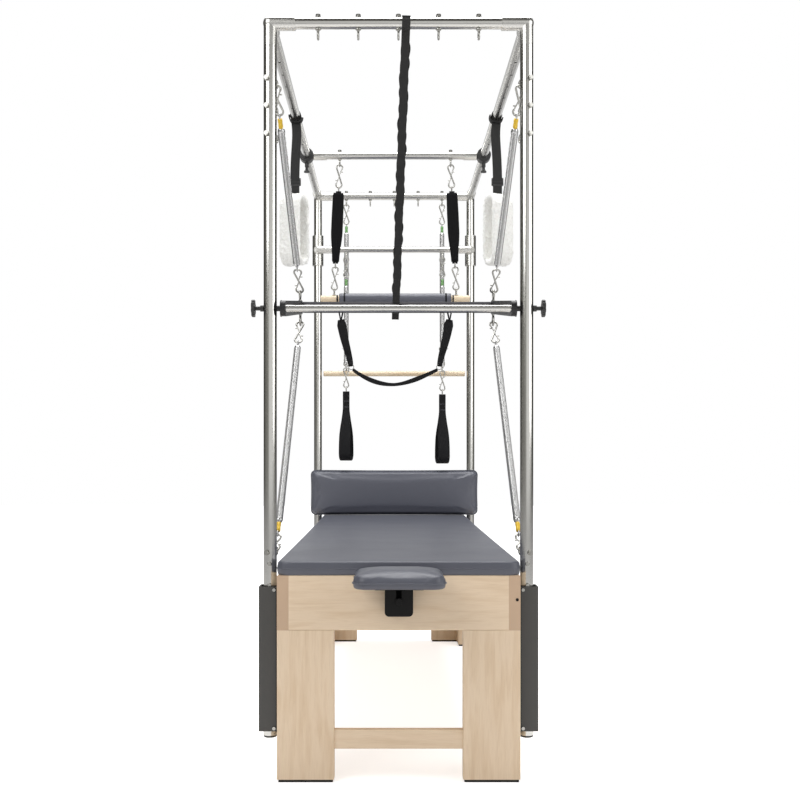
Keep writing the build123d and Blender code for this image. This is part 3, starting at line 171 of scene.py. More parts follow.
def lathe(bm, start, way, profile, count=24, material=0):
    """Turn a profile of (distance along, radius) about a line, closed at both ends."""
    side = way.orthogonal().normalized()
    closed = [(profile[0][0], 0.0), *profile, (profile[-1][0], 0.0)]
    chain = [bm.verts.new(start + way * distance + side * radius) for distance, radius in closed]
    edges = [bm.edges.new(pair) for pair in zip(chain, chain[1:])]
    spin_round(bm, [*chain, *edges], start, way, count, material)
    poles = [vertex for vertex in bm.verts if any((vertex.co - chain[i].co).length < 1e-7 for i in (0, -1))]
    bmesh.ops.remove_doubles(bm, verts=poles, dist=1e-7)


def ring(bm, centre, axis, mean, wire, material=0):
    """A wire ring about an axis."""
    side = axis.orthogonal().normalized()
    place = Matrix((side, axis, side.cross(axis))).transposed().to_4x4()
    place.translation = centre + side * mean
    verts = bmesh.ops.create_circle(bm, cap_ends=False, radius=wire, segments=10, matrix=place)["verts"]
    edges = list({edge for vertex in verts for edge in vertex.link_edges})
    spin_round(bm, [*verts, *edges], centre, axis, 32, material)


def arc(centre, side, up, radius, start, end, count):
    """Points of an arc in the plane of side and up, by angles in degrees."""
    angles = [math.radians(start + (end - start) * i / count) for i in range(count + 1)]
    return [centre + side * (radius * math.cos(a)) + up * (radius * math.sin(a)) for a in angles]


def smooth_path(points, step):
    """A smooth curve through the points, with a point every step."""
    ends = [points[0] * 2 - points[1], *points, points[-1] * 2 - points[-2]]
    path = []
    for a, b, c, d in zip(ends, ends[1:], ends[2:], ends[3:]):
        count = max(1, round((c - b).length / step))
        for i in range(count):
            t = i / count
            path.append(
                (b * 2 + (c - a) * t + (a * 2 - b * 5 + c * 4 - d) * t**2 + (b * 3 - a - c * 3 + d) * t**3) / 2
            )
    return path + [points[-1]]


def outline(width, length, corner, draw_in, counts=(10, 30, 8)):
    """A cushion's outline about the origin, its sides drawn in between round corners."""
    a, b = width / 2, length / 2
    across, along, bend = counts
    points = []
    for quarter in range(4):
        sx = (1, -1, -1, 1)[quarter]
        sy = (1, 1, -1, -1)[quarter]
        for i in range(bend + 1):
            angle = math.pi / 2 * (quarter + i / bend)
            points.append(
                Vector((sx * (a - corner) + corner * math.cos(angle), sy * (b - corner) + corner * math.sin(angle), 0))
            )
        end = points[-1]
        even = quarter % 2 == 0
        next_quarter = (quarter + 1) % 4
        nx, ny = (1, -1, -1, 1)[next_quarter], (1, 1, -1, -1)[next_quarter]
        angle = math.pi / 2 * (quarter + 1)
        start = Vector(
            (nx * (a - corner) + corner * math.cos(angle), ny * (b - corner) + corner * math.sin(angle), 0)
        )
        steps = across if even else along
        inward = Vector((0, -sy, 0)) if even else Vector((-nx, 0, 0))
        for i in range(1, steps):
            t = i / steps
            points.append(end.lerp(start, t) + inward * (draw_in * math.sin(math.pi * t)))
    return points


def cushion(bm, place, width, length, height, corner, edge, crown, draw_in, counts=(10, 30, 8), belly=0.0):
    """A crowned cushion: rings of its outline from the middle of the bottom to the middle of the top."""
    profile = [(min(width, length) / 2 - 0.004, 0.0), (edge, 0.0)]
    for i in range(1, 5):
        angle = math.pi / 2 * i / 4
        profile.append((edge * 0.5 * (1 - math.sin(angle)), edge * 0.5 * (1 - math.cos(angle))))
    for i in range(1, 5):
        t = i / 5
        profile.append((-belly * math.sin(math.pi * t), edge * 0.5 + (height - crown - edge * 1.5) * t))
    for i in range(0, 7):
        angle = math.pi / 2 * i / 6
        profile.append((edge * (1 - math.cos(angle)), height - crown - edge * (1 - math.sin(angle))))
    half = min(width, length) / 2
    for i in range(1, 9):
        t = i / 8
        inset = edge + (half - 0.004 - edge) * t
        profile.append((inset, height - crown * (1 - t) ** 2))
    rings = []
    for inset, level in profile:
        bend = max(corner - inset, 0.003)
        line = outline(width - 2 * inset, length - 2 * inset, bend, draw_in * max(0.0, 1 - inset / 0.1), counts)
        rings.append([bm.verts.new(place @ (point + Z * level)) for point in line])
    count = len(rings[0])
    for low, high in zip(rings, rings[1:]):
        for j in range(count):
            k = (j + 1) % count
            bm.faces.new((low[j], low[k], high[k], high[j])).smooth = True
    for last in (rings[0][::-1], rings[-1]):
        bm.faces.new(last)


def piping(bm, place, width, length, corner, draw_in, level, radius, material=0, counts=(10, 30, 8)):
    """A round piped seam along a cushion's outline."""
    line = [place @ (point + Z * level) for point in outline(width, length, corner, draw_in, counts)]
    sweep(bm, line, circle_section(radius, 8), across=place.to_3x3() @ Z, closed=True, material=material)


def make_piece(name, bm, body, materials, replaces=()):
    """Turn a bmesh into a piece that rides on a body named by a string; given two bodies with points between them
    instead, it only bakes the piece in place and does not make it bend.
    """
    bmesh.ops.recalc_face_normals(bm, faces=bm.faces)
    data = bpy.data.meshes.new(name)
    bm.to_mesh(data)
    bm.free()
    for material in materials:
        data.materials.append(bpy.data.materials[material])
    piece = bpy.data.objects.new(name, data)
    bpy.context.scene.collection.objects.link(piece)
    if isinstance(body, str):
        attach(piece, body)
    else:
        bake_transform(piece)
    if replaces:
        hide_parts(*replaces)
    return piece


# Finishes


def colour(text):
    """A linear colour from an sRGB hex text."""
    parts = [int(text[i : i + 2], 16) / 255 for i in (1, 3, 5)]
    return [*((c / 12.92 if c <= 0.04045 else ((c + 0.055) / 1.055) ** 2.4) for c in parts), 1.0]


def add_node(tree, kind, inputs=None, **settings):
    """Add a shader node, with its inputs set to values or linked to sockets."""
    item = tree.nodes.new(kind)
    for name, value in settings.items():
        setattr(item, name, value)
    for name, value in (inputs or {}).items():
        if isinstance(value, bpy.types.NodeSocket):
            tree.links.new(value, item.inputs[name])
        else:
            item.inputs[name].default_value = value
    return item


def new_material(name):
    """An empty material with its output, as (tree, function that sets the surface)."""
    material = bpy.data.materials.new(name)
    material.use_nodes = True
    tree = material.node_tree
    tree.nodes.clear()
    output = tree.nodes.new("ShaderNodeOutputMaterial")

    def surface(**inputs):
        inputs = {key.replace("_", " "): value for key, value in inputs.items()}
        shader = add_node(tree, "ShaderNodeBsdfPrincipled", inputs)
        tree.links.new(shader.outputs[0], output.inputs["Surface"])

    return tree, surface


def object_space(tree, scale=(1, 1, 1)):
    """Object coordinates in metres, scaled."""
    where = tree.nodes.new("ShaderNodeTexCoord").outputs["Object"]
    return add_node(tree, "ShaderNodeMapping", {"Vector": where, "Scale": scale}).outputs["Vector"]


def bump(tree, height, distance, strength=1.0):
    """A bump of a real height in metres."""
    inputs = {"Height": height, "Distance": distance, "Strength": strength}
    return add_node(tree, "ShaderNodeBump", inputs).outputs["Normal"]


def two_tone(tree, factor, low, high, start=0.3, end=0.7):
    """A ramp between two colours."""
    ramp = add_node(tree, "ShaderNodeValToRGB", {"Fac": factor})
    ramp.color_ramp.elements[0].position, ramp.color_ramp.elements[1].position = start, end
    ramp.color_ramp.elements[0].color, ramp.color_ramp.elements[1].color = colour(low), colour(high)
    return ramp.outputs["Color"]


def wood(name, light, dark, grain):
    """Lacquered wood: long soft figure and fine pores along the grain, with a satin varnish."""
    tree, surface = new_material(name)
    figure_scale = [5.0 if axis == grain else 55.0 for axis in "XYZ"]
    pore_scale = [25.0 if axis == grain else 900.0 for axis in "XYZ"]
    figure = add_node(tree, "ShaderNodeTexNoise", {
        "Vector": object_space(tree, figure_scale), "Scale": 1.0, "Detail": 5.0, "Distortion": 0.6})
    pores = add_node(tree, "ShaderNodeTexNoise", {
        "Vector": object_space(tree, pore_scale), "Scale": 1.0, "Detail": 3.0})
    tone = two_tone(tree, figure.outputs["Fac"], dark, light, 0.22, 0.55)
    fine = two_tone(tree, pores.outputs["Fac"], "#cbbba6", "#ffffff", 0.25, 0.5)
    mixed = add_node(tree, "ShaderNodeMixRGB", {"Fac": 0.22, "Color1": tone, "Color2": fine}, blend_type="MULTIPLY")
    surface(Base_Color=mixed.outputs["Color"], Roughness=0.42, Coat_Weight=0.15, Coat_Roughness=0.25,
            Normal=bump(tree, pores.outputs["Fac"], 0.0001, 0.4))


def metal(name, tone, roughness, brush=None):
    """Bare metal with a faint wander in its polish, brushed along an axis where one is given."""
    tree, surface = new_material(name)
    scale = [6.0 if axis == brush else 500.0 for axis in "XYZ"] if brush else (60.0, 60.0, 60.0)
    wander = add_node(tree, "ShaderNodeTexNoise", {"Vector": object_space(tree, scale), "Scale": 1.0, "Detail": 3.0})
    rough = add_node(tree, "ShaderNodeMapRange", {
        "Value": wander.outputs["Fac"], "To Min": roughness * 0.85, "To Max": roughness * 1.2})
    surface(Base_Color=colour(tone), Metallic=1.0, Roughness=rough.outputs["Result"],
            Normal=bump(tree, wander.outputs["Fac"], 0.00001, 0.12))


def coated(name, tone, roughness, grain=900.0, depth=0.00008, shine=0.5):
    """Paint, plastic or rubber: one colour with a fine skin."""
    tree, surface = new_material(name)
    skin = add_node(tree, "ShaderNodeTexNoise", {"Vector": object_space(tree), "Scale": grain, "Detail": 2.0})
    surface(Base_Color=colour(tone), Roughness=roughness, Specular_IOR_Level=shine,
            Normal=bump(tree, skin.outputs["Fac"], depth, 0.5))


def vinyl(name, tone):
    """Upholstery vinyl: small cells pressed in a soft sheen."""
    tree, surface = new_material(name)
    cells = add_node(tree, "ShaderNodeTexVoronoi", {"Vector": object_space(tree), "Scale": 700.0})
    cloud = add_node(tree, "ShaderNodeTexNoise", {"Vector": object_space(tree), "Scale": 6.0, "Detail": 3.0})
    rough = add_node(tree, "ShaderNodeMapRange", {"Value": cloud.outputs["Fac"], "To Min": 0.36, "To Max": 0.5})
    surface(Base_Color=colour(tone), Roughness=rough.outputs["Result"], Specular_IOR_Level=0.65,
            Normal=bump(tree, cells.outputs["Distance"], 0.00012, 0.5))


def webbing(name, tone, crest_highlight, pitch=0.0016):
    """Woven webbing: two crossing sets of threads along its own length, with a painted highlight on the threads' crests
    and painted shade between them.
    """
    tree, surface = new_material(name)
    uv = tree.nodes.new("ShaderNodeTexCoord").outputs["UV"]
    threads = []
    for turn in (0.6, -0.6):
        turned = add_node(tree, "ShaderNodeMapping", {"Vector": uv, "Rotation": (0, 0, turn)}).outputs["Vector"]
        threads.append(add_node(tree, "ShaderNodeTexWave", {
            "Vector": turned, "Scale": 0.314 / pitch, "Distortion": 0.0}).outputs["Fac"])
    weave = add_node(tree, "ShaderNodeMath", {0: threads[0], 1: threads[1]}, operation="MAXIMUM").outputs[0]
    # The lighter tone on the raised threads is a painted highlight; the darker tone between them is painted shade.
    surface(Base_Color=two_tone(tree, weave, tone, crest_highlight, 0.1, 0.95), Roughness=0.78, Specular_IOR_Level=0.3,
            Normal=bump(tree, weave, 0.00035, 0.8))


def fleece(name, tone, shade):
    """Curled wool fleece: soft tufts with a bright nap, and painted shade in the hollows between the tufts."""
    tree, surface = new_material(name)
    tufts = add_node(tree, "ShaderNodeTexNoise", {
        "Vector": object_space(tree), "Scale": 190.0, "Detail": 5.0, "Distortion": 1.2})
    # The darker tone where the tufts sink is painted shade.
    surface(Base_Color=two_tone(tree, tufts.outputs["Fac"], shade, tone, 0.32, 0.55), Roughness=1.0,
            Sheen_Weight=0.7, Sheen_Roughness=0.8, Normal=bump(tree, tufts.outputs["Fac"], 0.0025, 0.5))


def paint(names, material):
    """Give CAD nodes a material."""
    for name in names:
        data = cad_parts[name].data
        data.materials.clear()
        data.materials.append(bpy.data.materials[material])


def paint_part(name, material, chosen):
    """Give the faces that chosen names in a CAD node a second material."""
    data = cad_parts[name].data
    data.materials.append(bpy.data.materials[material])
    for polygon in data.polygons:
        polygon.material_index = int(chosen(polygon))


class TableColours(bpy.types.PropertyGroup):
    """Colours that a user may change, as sRGB hex text."""

    mat: bpy.props.StringProperty(name="Mat", description="Vinyl of the mattress and cushions", default="#555761")
    birch: bpy.props.StringProperty(name="Wood", description="Light of the bed's wood", default="#e9d2b5")
    birch_dark: bpy.props.StringProperty(name="Wood grain", description="Dark of the bed's wood", default="#dcc09e")
    dowel: bpy.props.StringProperty(name="Dowels", description="Light of the wooden bars", default="#e2d0b4")
    strap: bpy.props.StringProperty(name="Straps", description="Webbing and padded loops", default="#0b0b0d")
    wool: bpy.props.StringProperty(name="Fleece", description="Fleece of the foot loops", default="#fbfbf7")
    first_tag: bpy.props.StringProperty(name="Push bar tags", description="Tags of the push springs", default="#e8c03a")
    second_tag: bpy.props.StringProperty(name="Rear tags", description="Tags of the rear springs", default="#6f9d62")


class TableSizes(bpy.types.PropertyGroup):
    """Sizes of the soft pieces that a user may change."""

    piping: bpy.props.FloatProperty(
        name="Piping", description="Radius of the piped seams", default=0.0022, min=0.001, max=0.006, unit="LENGTH")
    voxel: bpy.props.FloatProperty(
        name="Voxel", description="Cell size of the puffed cushions", default=0.006, min=0.004, max=0.02, unit="LENGTH")
    puff: bpy.props.FloatProperty(
        name="Puff", description="Furthest that stuffing may swell a cushion", default=0.006, min=0.0, max=0.02,
        unit="LENGTH")
    pressure: bpy.props.FloatProperty(
        name="Pressure", description="Pressure of the stuffing", default=4.0, min=0.0, max=20.0)
    tuft: bpy.props.FloatProperty(
        name="Tufts", description="Height of the fleece's tufts", default=0.0035, min=0.0, max=0.02, unit="LENGTH")


class TABLE_OT_finishes(bpy.types.Operator):
    """Make every material and paint the solids."""

    bl_idname = "table.finishes"
    bl_label = "Finishes"

    def execute(self, context):
        tones = context.scene.table_colours
        for grain in "XYZ":
            wood(f"birch_{grain}", tones.birch, tones.birch_dark, grain)
        wood("dowel", tones.dowel, "#cdb48f", "X")
        metal("stainless_z", "#dddcd8", 0.17, "Z")
        metal("stainless_x", "#dddcd8", 0.17, "X")
        metal("stainless_y", "#dddcd8", 0.17, "Y")
        metal("fitting", "#dcdbd7", 0.27)
        metal("zinc", "#b9b8b3", 0.24)
        metal("spring_steel", "#a9a49d", 0.3)
        coated("bracket_paint", "#4b4a48", 0.42)
        coated("black_paint", "#1f1f21", 0.38)
        coated("black_plastic", "#141415", 0.36, 500.0)
        coated("rubber", "#1b1b1b", 0.7)
        coated("foam", "#323136", 0.85, 380.0, 0.0006)
        coated("stitch", "#4c4c52", 0.8)
        # Near-black paint for the painted shade inside the rail's end hole.
        coated("dark_hole", "#1a120b", 0.9)
        # Near-black paint for the painted shade inside the headrest bracket's slot.
        coated("slot_dark", "#020202", 0.9, shine=0.05)
        coated("yellow_tag", tones.first_tag, 0.4)
        coated("green_tag", tones.second_tag, 0.4)
        vinyl("mat_vinyl", tones.mat)
        # The two webbings differ in thread pitch and in how bright the painted highlight on their crests is.
        webbing("black_webbing", tones.strap, "#1c1c20")
        webbing("thin_webbing", tones.strap, "#111114", 0.0011)
        coated("neoprene", "#0c0c0e", 0.85, 700.0, 0.0002, 0.2)
        coated("bracket_black", "#0a0908", 0.5, shine=0.25)
        coated("end_grain", "#c9ad92", 0.6, 1200.0, 0.0001, 0.3)
        fleece("fleece", tones.wool, "#e6e4dc")

        paint(["side_rails"], "birch_Y")
        paint(["end_rails", "leg_stretchers", "bed_deck"], "birch_X")
        paint(["legs"], "birch_Z")
        paint(["uprights"], "stainless_z")
        paint(["end_crossbars", "slider_crossbar", "push_bar_pivot_tube", "push_bar_core", "rear_slide_bar"], "stainless_x")
        paint(["top_rails"], "stainless_y")
        paint(["corner_fittings", "rear_slide_sleeves"], "fitting")
        paint(["upright_brackets"], "bracket_paint")
        paint(["push_bar_arms"], "black_paint")
        paint(["headrest_bracket", "headrest_post", "headrest_button"], "bracket_black")
        paint(["slider_collars", "left_locking_pin", "right_locking_pin", "left_pivot_knob", "right_pivot_knob",
               "upright_end_caps"], "black_plastic")
        paint(["rubber_feet"], "rubber")
        paint(["trapeze_bar", "roll_down_bar"], "dowel")
        paint_part("push_bar_pivot_tube", "black_paint", lambda face: abs(face.center.x) > HUB_X)
        paint_part("side_rails", "end_grain", lambda face: abs(face.normal.y) > 0.9)
        # The brackets' inner faces, in the recess against the wood, are painted near black: partly the dark metal of
        # the flange, partly painted shade of the recess.
        paint_part("upright_brackets", "bracket_black", lambda face: abs(face.center.x) < FLANGE_X)
        paint([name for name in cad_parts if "snap" in name or "eyebolt" in name or "fittings" in name
               and name != "corner_fittings"] + ["bracket_screws"], "zinc")
        return {"FINISHED"}


def puff(piece, context, pinned):
    """Swell a cushion by a cloth simulation, keeping the points that pinned names where they are."""
    sizes = context.scene.table_sizes
    context.view_layer.objects.active = piece
    remesh = piece.modifiers.new("remesh", "REMESH")
    remesh.mode, remesh.voxel_size, remesh.use_smooth_shade = "VOXEL", sizes.voxel, True
    bpy.ops.object.modifier_apply(modifier=remesh.name)
    rest = [vertex.co.copy() for vertex in piece.data.vertices]
    group = piece.vertex_groups.new(name="held")
    for index, point in enumerate(rest):
        if pinned(point):
            group.add([index], 1.0, "REPLACE")
    cloth = piece.modifiers.new("cloth", "CLOTH")
    cloth.settings.use_pressure, cloth.settings.uniform_pressure_force = True, sizes.pressure
    cloth.settings.effector_weights.gravity = 0.0
    cloth.settings.quality = 5
    cloth.settings.vertex_group_mass = "held"
    cloth.point_cache.frame_start, cloth.point_cache.frame_end = 1, 20
    for step in range(1, 21):
        context.scene.frame_set(step)
    bpy.ops.object.modifier_apply(modifier=cloth.name)
    context.scene.frame_set(1)
    for vertex, start in zip(piece.data.vertices, rest):
        moved = vertex.co - start
        if moved.length > sizes.puff:
            vertex.co = start + moved.normalized() * sizes.puff
    subdivide(piece, context, 1)
    for polygon in piece.data.polygons:
        polygon.use_smooth = True


def subdivide(piece, context, levels):
    """Apply a subdivision to a piece."""
    context.view_layer.objects.active = piece
    smoother = piece.modifiers.new("smooth", "SUBSURF")
    smoother.levels = smoother.render_levels = levels
    bpy.ops.object.modifier_apply(modifier=smoother.name)


MAT_WIDTH, MAT_LENGTH, MAT_HEIGHT, MAT_CORNER = 0.684, 2.25, 0.0415, 0.030
MID_Y, BED_Z = 0.112, 0.581


class TABLE_OT_mattress(bpy.types.Operator):
    """Make the mattress: a firm crowned pad with a piped seam and the cover's shallow ripples."""

    bl_idname = "table.mattress"
    bl_label = "Mattress"

    def execute(self, context):
        sizes = context.scene.table_sizes
        bm = bmesh.new()
        place = Matrix.Translation((0, MID_Y, BED_Z))
        counts = (36, 110, 10)
        cushion(bm, place, MAT_WIDTH, MAT_LENGTH, MAT_HEIGHT, MAT_CORNER, 0.008, 0.0025, 0.003, counts, 0.002)
        for vertex in bm.verts:
            reach = max(abs(vertex.co.x) / 0.342, abs(vertex.co.y - MID_Y) / 1.125)
            if vertex.co.z > BED_Z + 0.02 and reach < 0.995:
                ripple = noise.noise(Vector((vertex.co.x * 7, vertex.co.y * 4, 0.0)))
                vertex.co.z += 0.0012 * ripple * min(1.0, (1 - reach) * 12)
        broad = [face for face in bm.faces if len(face.verts) > 4]
        bmesh.ops.triangulate(bm, faces=broad, ngon_method="BEAUTY")
        piping(bm, place, MAT_WIDTH + 0.0015, MAT_LENGTH + 0.0015, MAT_CORNER, 0.003, 0.0185, sizes.piping, 0, counts)
        piece = make_piece("mattress_cushion", bm, "frame", ["mat_vinyl"], ["mattress"])
        return {"FINISHED"}


class TABLE_OT_headrest(bpy.types.Operator):
    """Make the headrest's cushion, swollen by its stuffing, with its seam."""

    bl_idname = "table.headrest"
    bl_label = "Headrest cushion"

    def execute(self, context):
        sizes = context.scene.table_sizes
        low, high = (Vector(corner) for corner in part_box("headrest_pad"))
        width, length, height = high - low
        place = Matrix.Translation(((low.x + high.x) / 2, (low.y + high.y) / 2, low.z))
        inset = sizes.puff * 0.8
        bm = bmesh.new()
        cushion(bm, place, width - 2 * inset, length - 2 * inset, height - inset, 0.034, 0.018, 0.004, 0.003,
                (16, 14, 8))
        piece = make_piece("headrest_cushion", bm, "headrest", ["mat_vinyl"], ["headrest_pad"])
        puff(piece, context, lambda point: point.z < low.z + 0.017)
        bm = bmesh.new()
        piping(bm, place, width - 2 * inset + 0.001, length - 2 * inset + 0.001, 0.034, 0.003, 0.0165,
               sizes.piping, 0, (16, 14, 8))
        make_piece("headrest_piping", bm, "headrest", ["mat_vinyl"])
        return {"FINISHED"}


class TABLE_OT_end_board(bpy.types.Operator):
    """Make the padded board at the far end, swollen by its stuffing, with a seam round its back."""

    bl_idname = "table.end_board"
    bl_label = "End board cushion"

    def execute(self, context):
        sizes = context.scene.table_sizes
        low, high = (Vector(corner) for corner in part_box("end_board"))
        width, depth, height = high - low
        place = Matrix.Translation(((low.x + high.x) / 2, high.y, (low.z + high.z) / 2)) @ Matrix.Rotation(
            math.radians(90), 4, "X")
        inset = sizes.puff * 0.4
        bm = bmesh.new()
        cushion(bm, place, width - 2 * inset, height - 2 * inset, depth - inset, 0.022, 0.014, 0.004, 0.002,
                (60, 16, 6), 0.001)
        piece = make_piece("end_board_cushion", bm, "end_board", ["mat_vinyl"], ["end_board"])
        puff(piece, context, lambda point: point.y > high.y - 0.016)
        bm = bmesh.new()
        piping(bm, place, width - 2 * inset + 0.001, height - 2 * inset + 0.001, 0.022, 0.002, 0.015, sizes.piping, 0,
               (60, 16, 6))
        make_piece("end_board_piping", bm, "end_board", ["mat_vinyl"])
        return {"FINISHED"}


def add_spring(bm, start, end):
    """A spring from eye to eye: its tag, its two end cones and one wound wire."""
    way, length = (end - start).normalized(), (end - start).length
    ring(bm, start, X, SPRING_EYE, SPRING_EYE_WIRE)
    ring(bm, end, X, SPRING_EYE, SPRING_EYE_WIRE)
    lathe(bm, start, way, [
        (SPRING_EYE, TAG_RADIUS * 0.8), (SPRING_EYE + 0.001, TAG_RADIUS), (SPRING_EYE + 0.010, TAG_RADIUS),
        (SPRING_EYE + 0.012, TAG_RADIUS * 0.93), (SPRING_EYE + 0.018, TAG_RADIUS * 0.93),
        (SPRING_EYE + 0.020, TAG_RADIUS), (SPRING_EYE + TAG_LENGTH - 0.001, TAG_RADIUS),
        (SPRING_EYE + TAG_LENGTH, TAG_RADIUS * 0.8)], material=1)
    first = SPRING_EYE + TAG_LENGTH
    last = length - SPRING_EYE - PLAIN_NECK
    lathe(bm, end, -way, [(SPRING_EYE - 0.001, 0.0042), (SPRING_EYE + PLAIN_NECK + 0.001, 0.0046)])
    for base, towards in ((start + way * first, way), (start + way * last, -way)):
        lathe(bm, base, towards, [
            (0.0, 0.0055), (0.002, 0.0075), (SPRING_CONE * 0.5, 0.0103), (SPRING_CONE - 0.001, 0.0114),
            (SPRING_CONE, 0.0108)])
    wound, wire = 0.0097, 0.0018
    side = way.orthogonal().normalized()
    up = way.cross(side)
    begin, finish = first + SPRING_CONE - 0.001, last - SPRING_CONE + 0.001
    turns = round((finish - begin) / (wire * 2.12))
    count = turns * 14
    points = []
    for i in range(count + 1):
        angle = 2 * math.pi * turns * i / count
        points.append(
            start + way * (begin + (finish - begin) * i / count) + side * (wound * math.cos(angle))
            + up * (wound * math.sin(angle)))
    sweep(bm, points, circle_section(wire, 7), across=way)


class TABLE_OT_springs(bpy.types.Operator):
    """Wind every spring with its coloured tag, stretching between the snaps at its ends."""

    bl_idname = "table.springs"
    bl_label = "Springs"

    def execute(self, context):
        for name, (start, end, stem, tag) in SPRINGS.items():
            bm = bmesh.new()
            start, end = Vector(start), Vector(end)
            add_spring(bm, start, end)
            if name.endswith("springs"):
                mirror = Vector((-1, 1, 1))
                add_spring(bm, start * mirror, end * mirror)
            way = (end - start).normalized()
            bend = (f"{stem}_swing", f"{stem}_end", start + way * 0.05, end - way * 0.03)
            make_piece(f"{name}_coils", bm, bend, ["spring_steel", tag], [name])
        return {"FINISHED"}


class TABLE_OT_safety_strap(bpy.types.Operator):
    """Sew the safety strap: a looped band with a second band stitched to it in steps."""

    bl_idname = "table.safety_strap"
    bl_label = "Safety strap"

    def execute(self, context):
        way = (GRIP - STRAP_TOP).normalized()
        run = (GRIP - STRAP_TOP).length
        out = X.cross(way).normalized()
        if out.z < 0:
            out = -out
        bm = bmesh.new()
        band = flat_section(0.0245, 0.0016)
        top, bottom = 0.0165 + 0.0016, 0.019 + 0.0016
        path = arc(STRAP_TOP, way, out, top, -20, -340, 30)
        path += smooth_path([path[-1], STRAP_TOP + way * 0.05 + out * 0.0012, GRIP - way * 0.05 + out * 0.0012], 0.01)[1:]
        path += arc(GRIP, way, out, bottom, 160, -160, 30)
        path += smooth_path([path[-1], GRIP - way * 0.05 - out * 0.0012, STRAP_TOP + way * 0.05 - out * 0.0012, path[0]],
                            0.01)[1:-1]
        sweep(bm, path, band, across=X, closed=True)
        steps, first, last = 19, 0.055, run - 0.055
        length = (last - first) / steps
        wave = []
        for i in range(steps * 8 + 1):
            share = i % 8 / 8
            rise = 0.0026 + 0.0062 * math.sin(math.pi * share) * (0.8 + 0.2 * math.sin(i // 8 * 2.1))
            wander = 0.0014 * math.sin(i / 8 * 1.9) + 0.0008 * math.sin(i / 8 * 5.3)
            wave.append(STRAP_TOP + way * (first + length * i / 8) + out * rise + X * wander)

        def loops(share):
            """The second band's section: drawn in at each seam and full width between."""
            return flat_section(0.0235 + 0.0055 * abs(math.sin(math.pi * steps * share)), 0.0018)

        sweep(bm, wave, loops, across=X)
        for i in range(steps + 1):
            seam = STRAP_TOP + way * (first + length * i) + out * 0.0038
            for shift in (-0.0025, 0.0025):
                line = [seam + way * shift + X * x for x in (-0.0105, 0, 0.0105)]
                sweep(bm, line, circle_section(0.0006, 6), material=1)
        tail = [GRIP - way * 0.03 + out * 0.006, GRIP + out * (bottom + 0.003), GRIP + way * 0.035 + out * 0.022,
                GRIP + way * 0.06 + out * 0.018]
        sweep(bm, smooth_path(tail, 0.005), band, across=X)
        bend = ("frame", "push_bar", STRAP_TOP + way * 0.03, GRIP - way * 0.03)
        make_piece("safety_strap_webbing", bm, bend, ["black_webbing", "stitch"], ["safety_strap"])
        return {"FINISHED"}


class TABLE_OT_padded_loops(bpy.types.Operator):
    """Make the trapeze's padded loops: soft tapered sleeves on webbing that passes through the rings."""

    bl_idname = "table.padded_loops"
    bl_label = "Padded loops"

    def execute(self, context):
        bm = bmesh.new()
        for side in SIDES:
            top = Vector((side * 0.2356, SLIDER_Y, 2.0198))
            bottom = Vector((side * 0.2494, SLIDER_Y, 1.7027))
            way, length = (bottom - top).normalized(), (bottom - top).length

            def sleeve(share):
                """The padded sleeve's section at this share of its length."""
                ends = min(1.0, 0.3 + share * 40, 0.3 + (1 - share) * 40)
                late = max(0.0, share - 0.55) / 0.45
                width = 0.0455 + 0.003 * min(1.0, share / 0.3) - 0.0185 * late * late * (3 - 2 * late)
                thick = 0.019 * (0.55 + 0.45 * ends)
                return [(u * (0.94 + 0.06 * ends), v * (1 - 0.16 * math.cos(8 * u / width))) for u, v in
                        flat_section(width, thick, 28, 0.55)]

            start, end = top + way * 0.016, bottom - way * 0.016
            sweep(bm, [start.lerp(end, i / 80) for i in range(81)], sleeve, across=X)
            for y in (-0.0098, 0.0098):
                for x in (-0.011, 0.011):
                    line = [start.lerp(end, t / 24) + X * x * (1 - 0.35 * max(0, t / 24 - 0.6) / 0.4) + Y * y * 0.88
                            for t in range(2, 23)]
                    sweep(bm, line, circle_section(0.0007, 6), material=2)
            for centre, towards in ((top, way), (bottom, -way)):
                hole = centre + towards * 0.012
                band = smooth_path([hole + towards * 0.012 + Y * 0.004, hole + Y * 0.0036, hole - towards * 0.0036,
                                    hole - Y * 0.0036, hole + towards * 0.012 - Y * 0.004], 0.0015)
                sweep(bm, band, flat_section(0.022, 0.002), across=X, material=1)
        piece = make_piece("padded_loop_sleeves", bm, "trapeze", ["neoprene", "thin_webbing", "stitch"],
                           ["padded_loops"])
        return {"FINISHED"}


class TABLE_OT_foam_rolls(bpy.types.Operator):
    """Make the foam rolls: the trapeze bar's vinyl-covered pad and the push bar's grip."""

    bl_idname = "table.foam_rolls"
    bl_label = "Foam rolls"

    def execute(self, context):
        rolls = (("trapeze_bar_pad", "trapeze", "mat_vinyl", "grey_vinyl", 0.0010),
                 ("push_bar_grip", "push_bar", "foam", "black_foam", 0.0003))
        for node, body, material, slot, dent in rolls:
            low, high = (Vector(corner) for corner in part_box(node))
            length, radius, edge = high.x - low.x, (high.z - low.z) / 2, 0.004
            start = Vector((low.x, (low.y + high.y) / 2, (low.z + high.z) / 2))
            turns = [math.pi / 2 * i / 5 for i in range(6)]
            end = [(edge - edge * math.cos(t), radius - edge + edge * math.sin(t)) for t in turns]
            middle = [(edge + (length - 2 * edge) * i / 90, radius) for i in range(1, 90)]
            bm = bmesh.new()
            lathe(bm, start, X, end + middle + [(length - along, reach) for along, reach in end[::-1]], 48)
            for vertex in bm.verts:
                out = Vector((0, vertex.co.y - start.y, vertex.co.z - start.z))
                if out.length > radius - edge / 2:
                    at = Vector((vertex.co.x * 28, vertex.co.y * 40, vertex.co.z * 40))
                    vertex.co -= out.normalized() * (dent * max(0.0, noise.noise(at)))
            piece = make_piece(f"{node}_roll", bm, body, [material], [node])
        return {"FINISHED"}


